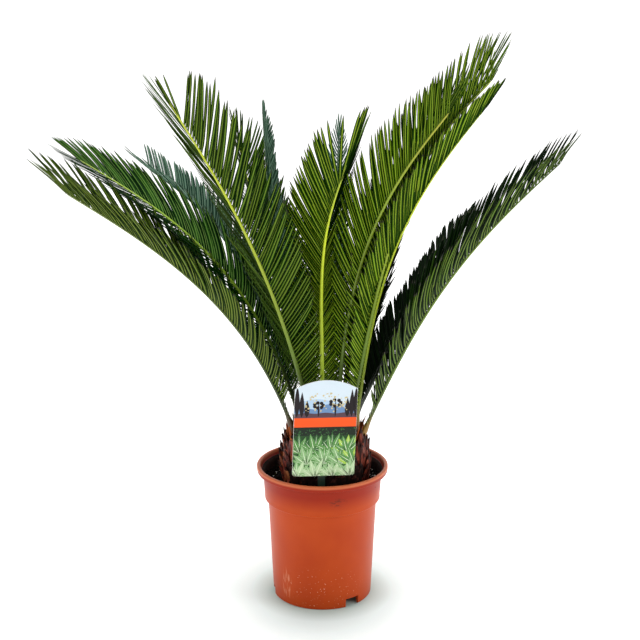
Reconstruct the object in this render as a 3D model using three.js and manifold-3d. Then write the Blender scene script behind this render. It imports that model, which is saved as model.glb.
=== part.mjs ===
// Potted sago palm (Cycas revoluta): a squat scaly trunk in a round plastic nursery pot, with a
// crown of stiff feather-shaped fronds. Millimetres, +Z up. The origin is the middle of the flat
// underside of the pot, -Y is the side that carries the plant label, +X is to its right.

import * as THREE from 'three';
import { mergeVertices } from 'three/addons/utils/BufferGeometryUtils.js';
import Module from 'manifold-3d';

const wasm = await Module();
wasm.setup();

// ---------------------------------------------------------------- driving dimensions

const CLEAR = 0.3;              // gap between touching pieces
const ROUND_SIDES = 32;         // facets round the pot and the soil

const pot = {
  rimRadius: 85,
  mouthRadius: 79.6,
  height: 176,
  lipDepth: 8,
  collarTop: 77,                // outer radius of the collar just under the lip
  collarFoot: 74.8,
  collarBottom: 137,
  stepHeight: 130,              // the wall steps in here, so that pots nest
  stepRadius: 70.3,
  footRadius: 64,
  wall: 2,
  footCorner: 2,
  skirt: 4,                     // width of the ring that the pot stands on
  hubRadius: 30,                // flat disc in the middle of the underside
  floorLift: 10,                // the floor between hub and skirt stands this high
  floorThickness: 3,
  notches: 3,
  notchWidth: 20,
  notchHeight: 11.5,
  notchTurn: -53,               // degrees from +X to the first drain notch
};

const soil = {
  top: 158,
};

const trunk = {
  centre: 4,                    // the trunk stands this far to the right of the pot's middle
  footRadius: 57,
  bellyRadius: 59,
  bellyHeight: 170,
  domeHeight: 196,              // the side turns over into the crown above this height
  domeRadius: 55,
  domeRise: 50,
  sides: 28,
  scaleRows: 5,
  scalesPerRow: 12,
  scaleFirst: 165,
  scalePitch: 10.5,
  scaleLength: 17,
  scaleWidth: 17,
  scaleThickness: 9,
  scaleLean: 62,                // degrees that a scale leans up from straight out
  budScales: 7,
  budRadius: 10,
  budLength: 52,
  budWidth: 13,
  budLean: 8,
};

const label = {
  width: 78.5,
  shoulder: 113,                // height of the straight sides
  arch: 11,                     // rise of the curved top over the shoulders
  corner: 4,                    // radius of the lower corners
  thickness: 0.8,
  foot: 184,                    // height of the lower edge over the floor
  front: -65.5,                 // Y of the front face at the middle
  tilt: 2.1,                    // degrees, clockwise seen from the front
  turn: 10,                     // degrees about the upright line through the middle of the front
  centre: 1,
  stakeWidth: 9,
  stakeThickness: 2,
  stakeHead: 70,                // length of stake behind the card
  stakeDepth: 45,               // length of stake in the soil
  stakeShift: 2,                // distance of the stake from the middle of the card
};

// Ribs and leaflets that all fronds share.
const rib = {
  steps: 6,
  baseWidth: 6.4,
  tipWidth: 2,
  flatness: 0.8,                // depth over width
  sink: 7,                      // length that is cut to the dome of the trunk
};

const leaflet = {
  pairs: 14,
  first: 0.09,                  // bare stalk, as a share of the rib
  width: 9.5,
  thickness: 1.7,
  belly: 0.4,                   // where along a leaflet it is widest
  rootWidth: 0.5,               // width at the root over the width at the belly
  bend: 0.08,                   // sweep towards the frond's tip, over the leaflet's length
  bowFull: 0.4,                 // share of the leafy part above which leaflets have their full bow
  sink: 1.4,                    // root sunk into the side of the rib
  shorter: [1, 0.8, 0.6, 0.42], // lengths tried where a neighbour is in the way
};

// What fronds have in common unless their own row says otherwise. Of the rib: the share of its
// length at which it bends and how far its heading sways. Of the blade: the lift of the leaflets
// over it (vee), its roll at the foot and its twist up to the tip. Of the angle between leaflet and
// rib: what it is at the first pair (base), what it levels off to (open), the share of the rib at
// which the last pairs close up, the run over which they do, and how far (press). Of the leaflets'
// length: the first and the last one over the longest (stub, taper) and the place of the longest
// (peak). The bow of a leaflet is how far its middle hangs back towards the foot of the frond.
const usual = {
  bend: 0.5,
  sway: 0,
  vee: 35,
  roll: 0,
  twist: 0,
  base: 56,
  open: 34,
  closing: 0.88,
  run: 0.12,
  press: 0.75,
  stub: 0.45,
  peak: 0.45,
  taper: 0.6,
  bow: 0.05,
};

// One row for each frond: where it sits on the crown (degrees from +X, radius), the heading it
// grows in, its rise over level at the foot and how much of that it loses up to the tip, its length
// and its longest leaflet, and whatever else sets it apart.
const FRONDS = [
  {
    seat: 190, radius: 42, turn: 190, rise: 68.5, fall: 35, length: 419, leaf: 74, bend: 0.42,
    vee: 37, roll: -5, open: 38, press: 0.34, peak: 0.5, taper: 0.9, bow: 0.28,
  },
  {
    seat: 232, radius: 27, turn: 223, rise: 72, fall: 18, length: 470, leaf: 100, vee: 24,
    roll: 14, twist: -5, open: 35, closing: 0.91, run: 0.03, press: 0.93, stub: 0.3, peak: 0.7,
    taper: 0.1, bow: 0,
  },
  {
    seat: 170, radius: 32, turn: 176, rise: 70.7, fall: 40.3, length: 441, leaf: 80, bend: 0.49,
    vee: 16, roll: -28, twist: 8, open: 24.2, press: 0.5, peak: 0.53, taper: 0.55, bow: 0.35,
  },
  {
    seat: 150, radius: 38, turn: 153, rise: 69.5, fall: 41.8, length: 393, leaf: 46, bend: 0.65,
    base: 52, open: 41, closing: 1.2, taper: 1,
  },
  {
    seat: 110, radius: 20, turn: 165, rise: 71.5, fall: -15, length: 386, leaf: 31,
  },
  {
    seat: 130, radius: 27, turn: 150, rise: 72, fall: 10, length: 365, leaf: 80, sway: -30,
    roll: 20,
  },
  {
    seat: 75, radius: 26, turn: 84, rise: 82, fall: 20, length: 375, leaf: 32,
  },
  {
    seat: 264, radius: 36, turn: 252.5, rise: 88.4, fall: 25, length: 359, leaf: 86, bend: 0.6,
    sway: 63, vee: 30, roll: 22, twist: -20, open: 33, closing: 0.885, run: 0.03, press: 0.92,
    stub: 0.38, peak: 0.9, taper: 0.45, bow: 0,
  },
  {
    seat: 300, radius: 27, turn: 315.4, rise: 84, fall: 37.3, length: 446, leaf: 85, bend: 0.55,
    vee: 52, roll: -11, twist: 4, base: 54, open: 32, closing: 1, peak: 0.56, taper: 0.5,
    bow: 0,
  },
  {
    seat: 326, radius: 35, turn: 330.5, rise: 78, fall: 33.2, length: 482, leaf: 93, bend: 0.71,
    vee: 44, roll: -11, twist: 14, open: 31, closing: 1, stub: 0.2, peak: 0.86, taper: 0.15,
    bow: 0,
  },
  {
    seat: 340, radius: 40, turn: 332.4, rise: 82, fall: 30.8, length: 447, leaf: 74, bend: 0.57,
    vee: 26, roll: 20, twist: -18, open: 26, press: 0.3, peak: 0.43, taper: 0.55,
  },
  {
    seat: 352, radius: 48, turn: 354, rise: 65.9, fall: 21.5, length: 426, leaf: 81, bend: 0.55,
    vee: 29, open: 41, press: 0.2, peak: 0.4, taper: 0.56, bow: 0.5,
  },
  {
    seat: 22, radius: 40, turn: 34, rise: 59.6, fall: 10, length: 278, leaf: 61, bend: 0.3,
    vee: 25, roll: -17, twist: -13, open: 44, stub: 0.7, taper: 0.9,
  },
  {
    seat: 58, radius: 36, turn: 66, rise: 66, fall: 25, length: 310, leaf: 90,
  },
  {
    seat: 112, radius: 42, turn: 112, rise: 64, fall: 30, length: 330, leaf: 80, vee: 38,
  },
  {
    seat: 358, radius: 36, turn: 338, rise: 81.5, fall: 8, length: 278, leaf: 58, bend: 0.47,
    vee: 19, roll: -11, twist: -10.5, open: 30, taper: 0.45,
  },
].map((row) => ({ ...usual, ...row }));

// ---------------------------------------------------------------- finishes

const finish = {
  terracotta: new THREE.MeshStandardMaterial({ color: 0xb9502a, roughness: 0.45, metalness: 0 }),
  peat: new THREE.MeshStandardMaterial({ color: 0x1d1813, roughness: 0.95, metalness: 0 }),
  bark: new THREE.MeshStandardMaterial({ color: 0x5a3522, roughness: 0.85, metalness: 0 }),
  card: new THREE.MeshStandardMaterial({ color: 0xe9e6dc, roughness: 0.5, metalness: 0 }),
  stake: new THREE.MeshStandardMaterial({ color: 0x24483f, roughness: 0.4, metalness: 0 }),
  frond: new THREE.MeshStandardMaterial({ color: 0x35591f, roughness: 0.45, metalness: 0 }),
};

// ---------------------------------------------------------------- solids and small helpers

const radians = THREE.MathUtils.degToRad;

// A closed three.js geometry as a solid that can be joined and cut.
function solidOf(geometry) {
  geometry.deleteAttribute('normal');
  geometry.deleteAttribute('uv');
  const merged = mergeVertices(geometry, 1e-4);
  const vertProperties = new Float32Array(merged.attributes.position.array);
  const triVerts = new Uint32Array(merged.index.array);
  return new wasm.Manifold(new wasm.Mesh({ numProp: 3, vertProperties, triVerts }));
}

// The other way: the faces of a solid as a geometry.
function geometryOf(solid) {
  const mesh = solid.getMesh();
  const geometry = new THREE.BufferGeometry();
  geometry.setAttribute('position', new THREE.BufferAttribute(new Float32Array(mesh.vertProperties), 3));
  geometry.setIndex(new THREE.BufferAttribute(new Uint32Array(mesh.triVerts), 1));
  geometry.computeVertexNormals();
  return geometry;
}

function meshOf(name, solid, material) {
  const mesh = new THREE.Mesh(geometryOf(solid), material);
  mesh.name = name;
  return mesh;
}

// A profile of [radius, height] points turned round +Z. LatheGeometry turns round +Y.
function turned(profile, sides) {
  const points = profile.map(([radius, height]) => new THREE.Vector2(radius, height));
  return new THREE.LatheGeometry(points, sides).rotateX(Math.PI / 2);
}

function polar(radius, degrees, height) {
  const angle = radians(degrees);
  return new THREE.Vector3(radius * Math.cos(angle), radius * Math.sin(angle), height);
}

// ---------------------------------------------------------------- pot and soil

// The pot's inner wall follows the outer one, one wall thickness inside it.
function potInnerRadius(height) {
  const { wall, footRadius, stepRadius, stepHeight, collarBottom, collarFoot, collarTop } = pot;
  const collarEnd = pot.height - pot.lipDepth;
  if (height <= stepHeight) {
    return THREE.MathUtils.mapLinear(height, 0, stepHeight, footRadius, stepRadius) - wall;
  }
  if (height <= collarBottom) {
    return THREE.MathUtils.mapLinear(height, stepHeight, collarBottom, stepRadius, collarFoot) - wall;
  }
  return THREE.MathUtils.mapLinear(height, collarBottom, collarEnd, collarFoot, collarTop) - wall;
}

function makePot() {
  const rim = pot.height;
  const lipFoot = rim - pot.lipDepth;
  const skirtInner = pot.footRadius - pot.skirt;
  const innerFloor = pot.floorLift + pot.floorThickness;
  const lipEdge = 1.5;
  const draft = 2;              // slope of the walls round the raised part of the underside
  const ledge = 1;              // height of the step under the collar
  const profile = [
    [0, 0],
    [pot.hubRadius, 0],
    [pot.hubRadius + draft, pot.floorLift],
    [skirtInner - draft, pot.floorLift],
    [skirtInner, 0],
    [pot.footRadius - pot.footCorner, 0],
    [pot.footRadius, pot.footCorner],
    [pot.stepRadius, pot.stepHeight],
    [pot.collarFoot, pot.stepHeight + ledge],
    [pot.collarFoot, pot.collarBottom],
    [pot.collarTop, lipFoot],
    [pot.rimRadius, lipFoot],
    [pot.rimRadius, rim - lipEdge],
    [pot.rimRadius - lipEdge, rim],
    [pot.mouthRadius, rim],
    [potInnerRadius(lipFoot - ledge), lipFoot - ledge],
    [potInnerRadius(pot.collarBottom), pot.collarBottom],
    [potInnerRadius(pot.stepHeight), pot.stepHeight - ledge],
    [potInnerRadius(innerFloor), innerFloor],
    [0, innerFloor],
  ];
  let body = solidOf(turned(profile, ROUND_SIDES));
  for (let i = 0; i < pot.notches; i += 1) {
    const turn = pot.notchTurn + (i * 360) / pot.notches;
    const reach = 2 * pot.skirt;
    const notch = new THREE.BoxGeometry(reach * 2, pot.notchWidth, pot.notchHeight * 2);
    notch.translate(pot.footRadius, 0, 0);
    notch.rotateZ(radians(turn));
    body = body.subtract(solidOf(notch));
  }
  return body;
}

function makeSoil() {
  const bottom = pot.floorLift + pot.floorThickness + CLEAR;
  const stepFoot = pot.stepHeight - 1;
  const levels = [bottom, stepFoot, pot.collarBottom, soil.top];
  const side = levels.map((height) => [potInnerRadius(height) - CLEAR, height]);
  return solidOf(turned([[0, bottom], ...side, [0, soil.top]], ROUND_SIDES));
}

// ---------------------------------------------------------------- trunk

// Height of the crown's dome at a distance from the trunk's axis.
function domeAt(radius) {
  const share = Math.min(radius / trunk.domeRadius, 1);
  return trunk.domeHeight + trunk.domeRise * Math.sqrt(1 - share * share);
}

// Radius of the trunk's side between its foot and the dome.
function sideAt(height) {
  const foot = soil.top + CLEAR;
  if (height < trunk.bellyHeight) {
    return THREE.MathUtils.mapLinear(height, foot, trunk.bellyHeight, trunk.footRadius, trunk.bellyRadius);
  }
  const share = (height - trunk.bellyHeight) / (trunk.domeHeight - trunk.bellyHeight);
  if (share <= 1) {
    return THREE.MathUtils.lerp(trunk.bellyRadius, trunk.domeRadius, share * share);
  }
  const rise = Math.min((height - trunk.domeHeight) / trunk.domeRise, 1);
  return trunk.domeRadius * Math.sqrt(1 - rise * rise);
}

// The smooth core of the trunk, grown all round by a margin. Fronds are cut with the grown core.
function trunkCore(margin) {
  const foot = soil.top + CLEAR;
  const profile = [
    [0, foot],
    [trunk.footRadius + margin, foot],
    [trunk.bellyRadius + margin, trunk.bellyHeight],
    [trunk.domeRadius + margin, trunk.domeHeight],
  ];
  const rings = 6;
  for (let i = 1; i < rings; i += 1) {
    const angle = (i / rings) * (Math.PI / 2);
    profile.push([
      (trunk.domeRadius + margin) * Math.cos(angle),
      trunk.domeHeight + (trunk.domeRise + margin) * Math.sin(angle),
    ]);
  }
  profile.push([0, trunk.domeHeight + trunk.domeRise + margin]);
  return solidOf(turned(profile, trunk.sides).translate(trunk.centre, 0, 0));
}

// A pointed four-sided scale that stands at a point and leans along a direction.
function scale(foot, direction, sideways, width, thickness, length) {
  const cone = new THREE.ConeGeometry(1, 1, 4, 1).translate(0, 0.5, 0);
  const along = direction.clone().normalize();
  const across = sideways.clone().normalize();
  const through = new THREE.Vector3().crossVectors(across, along).normalize();
  const basis = new THREE.Matrix4().makeBasis(
    across.multiplyScalar(width / 2),
    along.multiplyScalar(length),
    through.multiplyScalar(thickness / 2),
  );
  basis.setPosition(foot);
  return solidOf(cone.applyMatrix4(basis));
}

function makeTrunk() {
  let body = trunkCore(0);
  const axis = new THREE.Vector3(trunk.centre, 0, 0);
  const sunk = 5;
  for (let row = 0; row < trunk.scaleRows; row += 1) {
    const height = trunk.scaleFirst + row * trunk.scalePitch;
    for (let i = 0; i < trunk.scalesPerRow; i += 1) {
      const turn = ((i + (row % 2) / 2) * 360) / trunk.scalesPerRow;
      const foot = polar(sideAt(height) - sunk, turn, height).add(axis);
      const out = polar(Math.cos(radians(trunk.scaleLean)), turn, Math.sin(radians(trunk.scaleLean)));
      const across = polar(1, turn + 90, 0);
      body = body.add(scale(foot, out, across, trunk.scaleWidth, trunk.scaleThickness, trunk.scaleLength));
    }
  }
  for (let i = 0; i < trunk.budScales; i += 1) {
    const turn = (i * 360) / trunk.budScales;
    const foot = polar(trunk.budRadius, turn, domeAt(trunk.budRadius) - sunk).add(axis);
    const lean = radians(90 - trunk.budLean);
    const out = polar(Math.cos(lean), turn, Math.sin(lean));
    const across = polar(1, turn + 90, 0);
    body = body.add(scale(foot, out, across, trunk.budWidth, trunk.budWidth / 2, trunk.budLength));
  }
  return body;
}

// ---------------------------------------------------------------- label

// Turns a label piece, made about the middle of the card's front, and takes it to its place.
function inLabelPlace(piece) {
  piece.rotateZ(radians(label.turn));
  return piece.translate(label.centre, label.front, 0);
}

function makeCard() {
  const half = label.width / 2;
  const outline = new THREE.Shape();
  outline.moveTo(-half, label.corner);
  outline.quadraticCurveTo(-half, 0, label.corner - half, 0);
  outline.lineTo(half - label.corner, 0);
  outline.quadraticCurveTo(half, 0, half, label.corner);
  outline.lineTo(half, label.shoulder);
  outline.quadraticCurveTo(0, label.shoulder + 2 * label.arch, -half, label.shoulder);
  outline.closePath();
  const card = new THREE.ExtrudeGeometry(outline, {
    depth: label.thickness,
    bevelEnabled: false,
    curveSegments: 5,
  });
  card.rotateX(Math.PI / 2);
  card.rotateY(radians(label.tilt));
  card.translate(0, label.thickness, label.foot);
  return solidOf(inLabelPlace(card));
}

// A flat stick behind the card, pushed into the soil. It tapers to a blunt point.
function makeStake(margin) {
  const half = label.stakeWidth / 2 + margin;
  const point = 12;
  const foot = soil.top - label.stakeDepth - margin;
  const outline = new THREE.Shape();
  outline.moveTo(-half, label.foot + label.stakeHead);
  outline.lineTo(-half, foot + point);
  outline.lineTo(-half / 3, foot);
  outline.lineTo(half / 3, foot);
  outline.lineTo(half, foot + point);
  outline.lineTo(half, label.foot + label.stakeHead);
  outline.closePath();
  const depth = label.stakeThickness + 2 * margin;
  const stake = new THREE.ExtrudeGeometry(outline, { depth, bevelEnabled: false });
  stake.rotateX(Math.PI / 2);
  const back = label.thickness + CLEAR + label.stakeThickness;
  stake.translate(-label.stakeShift, back + margin, 0);
  return solidOf(inLabelPlace(stake));
}

// ---------------------------------------------------------------- fronds

function smoothStep(share) {
  return share * share * (3 - 2 * share);
}

// The rib of a frond as a list of stations, each with its point and its own axes: along the rib,
// across the blade and up from it. The rise falls off in a smooth step round the bend.
function ribStations(frond, steps) {
  const late = Math.log(0.5) / Math.log(frond.bend);
  const seat = polar(frond.radius, frond.seat, domeAt(frond.radius));
  seat.x += trunk.centre;
  const axesAt = (share) => {
    const eased = smoothStep(share ** late);
    const rise = radians(frond.rise - frond.fall * eased);
    const turn = frond.turn + frond.sway * eased;
    const along = polar(Math.cos(rise), turn, Math.sin(rise));
    const across = polar(1, turn + 90, 0);
    across.applyAxisAngle(along, radians(frond.roll + frond.twist * share));
    const lift = new THREE.Vector3().crossVectors(along, across);
    return { along, across, lift };
  };
  const stations = [];
  const point = seat.clone();
  for (let i = 0; i <= steps; i += 1) {
    stations.push({ point: point.clone(), ...axesAt(i / steps) });
    const middle = Math.min((i + 0.5) / steps, 1);
    point.addScaledVector(axesAt(middle).along, frond.length / steps);
  }
  return stations;
}

function ribWidth(share) {
  return THREE.MathUtils.lerp(rib.baseWidth, rib.tipWidth, share);
}

// A four-sided tapering limb: a cylinder whose rings are laid on the stations, with flat sides
// where the leaflets leave it. The first ring is pushed back into the trunk, where the limb is
// then cut to the dome.
function makeRib(stations) {
  const steps = stations.length - 1;
  const corner = Math.SQRT2;
  const limb = new THREE.CylinderGeometry(corner, corner, 1, 4, steps, false, Math.PI / 4);
  const place = limb.attributes.position;
  const vertex = new THREE.Vector3();
  for (let i = 0; i < place.count; i += 1) {
    vertex.fromBufferAttribute(place, i);
    const share = vertex.y + 0.5;
    const station = stations[Math.round(share * steps)];
    const half = ribWidth(share) / 2;
    const spot = station.point.clone();
    spot.addScaledVector(station.across, -vertex.x * half);
    spot.addScaledVector(station.lift, vertex.z * half * rib.flatness);
    if (share < 0.5 / steps) spot.addScaledVector(station.along, -rib.sink);
    place.setXYZ(i, spot.x, spot.y, spot.z);
  }
  return solidOf(limb);
}

// Length of a leaflet over the longest one: short at the foot, longest at the peak, shorter again
// towards the tip.
function leafletShare(frond, place) {
  const { stub, peak, taper } = frond;
  if (place < peak) return 1 - (1 - stub) * (1 - place / peak) ** 2;
  return 1 - (1 - taper) * ((place - peak) / (1 - peak)) ** 3;
}

// Angle between leaflet and rib: wide at the foot, levelling off, and closing up at the tip.
function leafletAngle(frond, place) {
  const open = THREE.MathUtils.lerp(frond.open, frond.base, (1 - place) ** 2);
  const closed = THREE.MathUtils.clamp((place - frond.closing) / frond.run, 0, 1);
  return radians(open * (1 - frond.press * smoothStep(closed)));
}

// The line of one leaflet: where it leaves the rib, which way it points and which way it lies.
function leafletLine(frond, stations, place, side) {
  const share = leaflet.first + (1 - leaflet.first) * place;
  const steps = stations.length - 1;
  const spot = share * steps;
  const before = stations[Math.min(Math.floor(spot), steps - 1)];
  const after = stations[Math.min(Math.floor(spot), steps - 1) + 1];
  const blend = spot - Math.min(Math.floor(spot), steps - 1);
  const mix = (key) => before[key].clone().lerp(after[key], blend);
  const along = mix('along').normalize();
  const across = mix('across').normalize();
  const lift = mix('lift').normalize();
  const angle = leafletAngle(frond, place);
  const vee = radians(frond.vee);
  const outward = across.multiplyScalar(side * Math.cos(vee)).addScaledVector(lift, Math.sin(vee));
  const heading = along.clone().multiplyScalar(Math.cos(angle)).addScaledVector(outward, Math.sin(angle));
  const flat = new THREE.Vector3().crossVectors(along, outward).multiplyScalar(side).normalize();
  const foot = mix('point');
  foot.addScaledVector(mix('across').normalize(), side * (ribWidth(share) / 2 - leaflet.sink));
  const bow = frond.bow * smoothStep(Math.min(place / leaflet.bowFull, 1));
  return { foot, along, heading, flat, bow, length: frond.leaf * leafletShare(frond, place) };
}

// A leaflet as a pointed blade, widest at its belly, bowed, and swept towards the frond's tip. It is
// flat above and has a keel below, so three sides are enough.
function makeLeaflet(line, length, margin) {
  const rows = [
    { share: 0, width: leaflet.rootWidth, coneRadius: 1 },
    { share: leaflet.belly, width: 1, coneRadius: 0.5 },
    { share: 1, width: 0, coneRadius: 1 },
  ];
  const blade = new THREE.ConeGeometry(1, 1, 3, 2, false, Math.PI);
  const place = blade.attributes.position;
  const vertex = new THREE.Vector3();
  const edge = new THREE.Vector3().crossVectors(line.heading, line.flat).normalize();
  const halfSpan = Math.sin(Math.PI / 3);
  const depthSpan = 1.5;
  for (let i = 0; i < place.count; i += 1) {
    vertex.fromBufferAttribute(place, i);
    const { share, width, coneRadius } = rows[Math.round((vertex.y + 0.5) * 2)];
    const across = (vertex.x / coneRadius / halfSpan) * (leaflet.width / 2 + margin) * width;
    const depth = (leaflet.thickness + 2 * margin) * Math.sqrt(width);
    const through = (vertex.z / coneRadius / depthSpan) * depth;
    const spot = line.foot.clone();
    spot.addScaledVector(line.heading, share * (length + margin));
    const sweep = leaflet.bend * share * share - line.bow * share * (1 - share);
    spot.addScaledVector(line.along, length * sweep);
    spot.addScaledVector(edge, across);
    spot.addScaledVector(line.flat, through);
    place.setXYZ(i, spot.x, spot.y, spot.z);
  }
  return solidOf(blade);
}

function apart(one, other) {
  const a = one.boundingBox();
  const b = other.boundingBox();
  const boxesMeet = [0, 1, 2].every((k) => a.min[k] <= b.max[k] && b.min[k] <= a.max[k]);
  return !boxesMeet || one.intersect(other).isEmpty();
}

// Leaflets are grown pair by pair on all fronds in turn. One that would touch another frond, the
// trunk or the label is grown shorter, and left out where even the shortest would touch.
function makeFronds(obstacles) {
  const seatCut = trunkCore(CLEAR);
  const grown = FRONDS.map((frond) => {
    const stations = ribStations(frond, rib.steps);
    const limb = makeRib(stations).subtract(seatCut);
    return { frond, stations, pieces: [limb] };
  });
  for (let pair = 0; pair < leaflet.pairs; pair += 1) {
    const place = pair / (leaflet.pairs - 1);
    for (const one of grown) {
      for (const side of [1, -1]) {
        const line = leafletLine(one.frond, one.stations, place, side);
        const others = grown.filter((other) => other !== one).flatMap((other) => other.pieces);
        const free = (share) => {
          const fat = makeLeaflet(line, line.length * share, 2 * CLEAR);
          return [...obstacles, ...others].every((other) => apart(fat, other));
        };
        const share = leaflet.shorter.find(free);
        if (share) one.pieces.push(makeLeaflet(line, line.length * share, 0));
      }
    }
  }
  return grown.map(({ pieces }) => pieces.reduce((whole, piece) => whole.add(piece)));
}

// ---------------------------------------------------------------- assembly

const trunkSolid = makeTrunk();
const cardSolid = makeCard();
const stakeSolid = makeStake(0);
const soilSolid = makeSoil().subtract(makeStake(CLEAR));

const palm = new THREE.Group();
palm.add(meshOf('pot', makePot(), finish.terracotta));
palm.add(meshOf('soil', soilSolid, finish.peat));
palm.add(meshOf('trunk', trunkSolid, finish.bark));
palm.add(meshOf('label_card', cardSolid, finish.card));
palm.add(meshOf('label_stake', stakeSolid, finish.stake));
makeFronds([trunkSolid, cardSolid, stakeSolid]).forEach((frond, i) => {
  const number = String(i + 1).padStart(2, '0');
  palm.add(meshOf(`frond_${number}`, frond, finish.frond));
});

export default palm;
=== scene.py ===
# %% [markdown]
# # A potted sago palm
# A young sago palm stands in a round plastic nursery pot: a squat trunk covered in old leaf bases,
# a crown of stiff feather-shaped fronds, and a plant label pushed into the soil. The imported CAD
# model is loaded first and stays the fixed frame: every new piece is made in its place, in metres,
# with +Z up and -Y towards the viewer.

# %% Load the frame
import math

import bpy
import numpy as np
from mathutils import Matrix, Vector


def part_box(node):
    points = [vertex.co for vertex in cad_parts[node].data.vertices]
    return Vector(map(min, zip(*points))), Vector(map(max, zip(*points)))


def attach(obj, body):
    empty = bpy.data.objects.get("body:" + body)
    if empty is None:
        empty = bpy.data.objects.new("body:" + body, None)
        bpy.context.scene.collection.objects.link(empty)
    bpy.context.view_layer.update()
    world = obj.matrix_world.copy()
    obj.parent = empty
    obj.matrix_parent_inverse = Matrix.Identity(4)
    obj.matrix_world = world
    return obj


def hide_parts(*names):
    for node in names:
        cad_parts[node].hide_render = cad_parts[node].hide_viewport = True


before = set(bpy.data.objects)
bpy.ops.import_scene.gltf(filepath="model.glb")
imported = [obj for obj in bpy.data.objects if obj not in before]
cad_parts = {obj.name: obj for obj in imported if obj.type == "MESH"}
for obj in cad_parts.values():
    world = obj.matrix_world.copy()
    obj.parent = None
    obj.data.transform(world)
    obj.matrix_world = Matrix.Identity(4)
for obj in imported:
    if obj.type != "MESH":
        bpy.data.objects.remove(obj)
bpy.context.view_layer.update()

MM = 0.001
print("CAD nodes:", len(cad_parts))

# %% [markdown]
# ## Camera
# The camera looks slightly down at the plant from a little over a metre and a half away, with a
# short telephoto lens. Depth of field stays off, so every frond is sharp.

# %% Camera
SENSOR = 36.0
IMAGE_SIDE = 640
FOCAL_IN_PIXELS = 1300
PITCH_DOWN = 14.5
CAMERA_PLACE = (-0.003, -1.584, 0.777)

lens = bpy.data.cameras.new("camera")
lens.sensor_width = SENSOR
lens.lens = SENSOR * FOCAL_IN_PIXELS / IMAGE_SIDE
camera = bpy.data.objects.new("camera", lens)
camera.location = CAMERA_PLACE
camera.rotation_euler = (math.radians(90 - PITCH_DOWN), 0, 0)
bpy.context.scene.collection.objects.link(camera)
bpy.context.scene.camera = camera
print(f"lens {lens.lens:.1f} mm")

# %% [markdown]
# ## Surfaces from arrays
# Every new piece is a grid of points worked out with numpy as one array. Small helpers turn such
# grids into meshes: one lists the faces of tubes, another hands vertices, faces and finishes to
# Blender in a few bulk calls, which is far quicker than adding them one by one.

# %% Mesh helpers
def unit(vectors):
    """Each vector divided by its own length."""
    return vectors / np.linalg.norm(vectors, axis=-1, keepdims=True)


def points_of(*coordinates):
    """Points from their coordinates, each an array or one number for all of them."""
    return np.stack(np.broadcast_arrays(*coordinates), -1)


def swept(line, across, up, wide, deep, x, y):
    """Rings of tubes along lines of points: the outline (x, y), stretched at each point to half a
    width across the line and half a depth up from it."""
    def spread(way, half, outline):
        return way[..., None, :] * (half[..., None] * outline)[..., None]

    return line[..., None, :] + spread(across, wide, x) + spread(up, deep, y)


def tube_faces(tubes, rings, corners):
    """Faces of many tubes with the same grid: side quads [tubes, ring, corner] and two end caps.
    Corner c of ring r joins corner c + 1 of the same ring and the two of ring r + 1."""
    tube, ring, corner = np.mgrid[0:tubes, 0:rings - 1, 0:corners]
    after = (corner + 1) % corners
    base = (tube * rings + ring) * corners
    sides = np.stack([base + corner, base + after, base + corners + after, base + corners + corner], -1)
    first = np.arange(tubes)[:, None] * rings * corners
    start = first + np.arange(corners)[::-1]
    end = first + (rings - 1) * corners + np.arange(corners)
    return sides, start, end


def enclosed(vertices, groups):
    """Signed volume of a closed mesh: the sum of dot(a, cross(b, c)) / 6 over fans of triangles."""
    total = 0.0
    for faces in groups:
        for i in range(1, faces.shape[1] - 1):
            a, b, c = (vertices[faces[:, k]] for k in (0, i, i + 1))
            total += np.einsum("ij,ij->", a, np.cross(b, c)) / 6
    return total


def make_piece(name, vertices, groups, finishes, tones=None, sharp=40, attribute=None):
    """A mesh object in millimetres, riding on the body. groups are arrays of faces, one array for
    each number of corners; tones gives each face its finish; attribute is a name with a value for
    each vertex. Inside-out meshes are turned round."""
    vertices = np.asarray(vertices, float).reshape(-1, 3) * MM
    groups = [np.asarray(g).reshape(-1, g.shape[-1]) for g in groups]
    if enclosed(vertices, groups) < 0:
        groups = [g[:, ::-1] for g in groups]
    sizes = np.concatenate([np.full(len(g), g.shape[1]) for g in groups])
    mesh = bpy.data.meshes.new(name)
    mesh.vertices.add(len(vertices))
    mesh.vertices.foreach_set("co", vertices.astype(np.float32).ravel())
    corners = np.concatenate([g.ravel() for g in groups]).astype(np.int32)
    mesh.loops.add(len(corners))
    mesh.loops.foreach_set("vertex_index", corners)
    mesh.polygons.add(len(sizes))
    mesh.polygons.foreach_set("loop_start", np.concatenate([[0], np.cumsum(sizes)[:-1]]).astype(np.int32))
    if tones is not None:
        mesh.polygons.foreach_set("material_index", np.asarray(tones, np.int32).ravel())
    mesh.polygons.foreach_set("use_smooth", np.ones(len(sizes), bool))
    mesh.update(calc_edges=True)
    mesh.validate()
    mesh.set_sharp_from_angle(angle=math.radians(sharp))
    if attribute is not None:
        layer = mesh.attributes.new(attribute[0], "FLOAT", "POINT")
        layer.data.foreach_set("value", np.asarray(attribute[1], np.float32).ravel())
    for finish in finishes:
        mesh.materials.append(finish)
    piece = bpy.data.objects.new(name, mesh)
    bpy.context.scene.collection.objects.link(piece)
    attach(piece, "root")
    return piece


def make_tubes(name, rings, finishes, tones=None, sharp=40):
    """A piece of closed tubes from points [ring, corner], or [tube, ring, corner] for several."""
    tubes_rings_corners = (1, *rings.shape[:-1])[-3:]
    return make_piece(name, rings, tube_faces(*tubes_rings_corners), finishes, tones, sharp)


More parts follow.
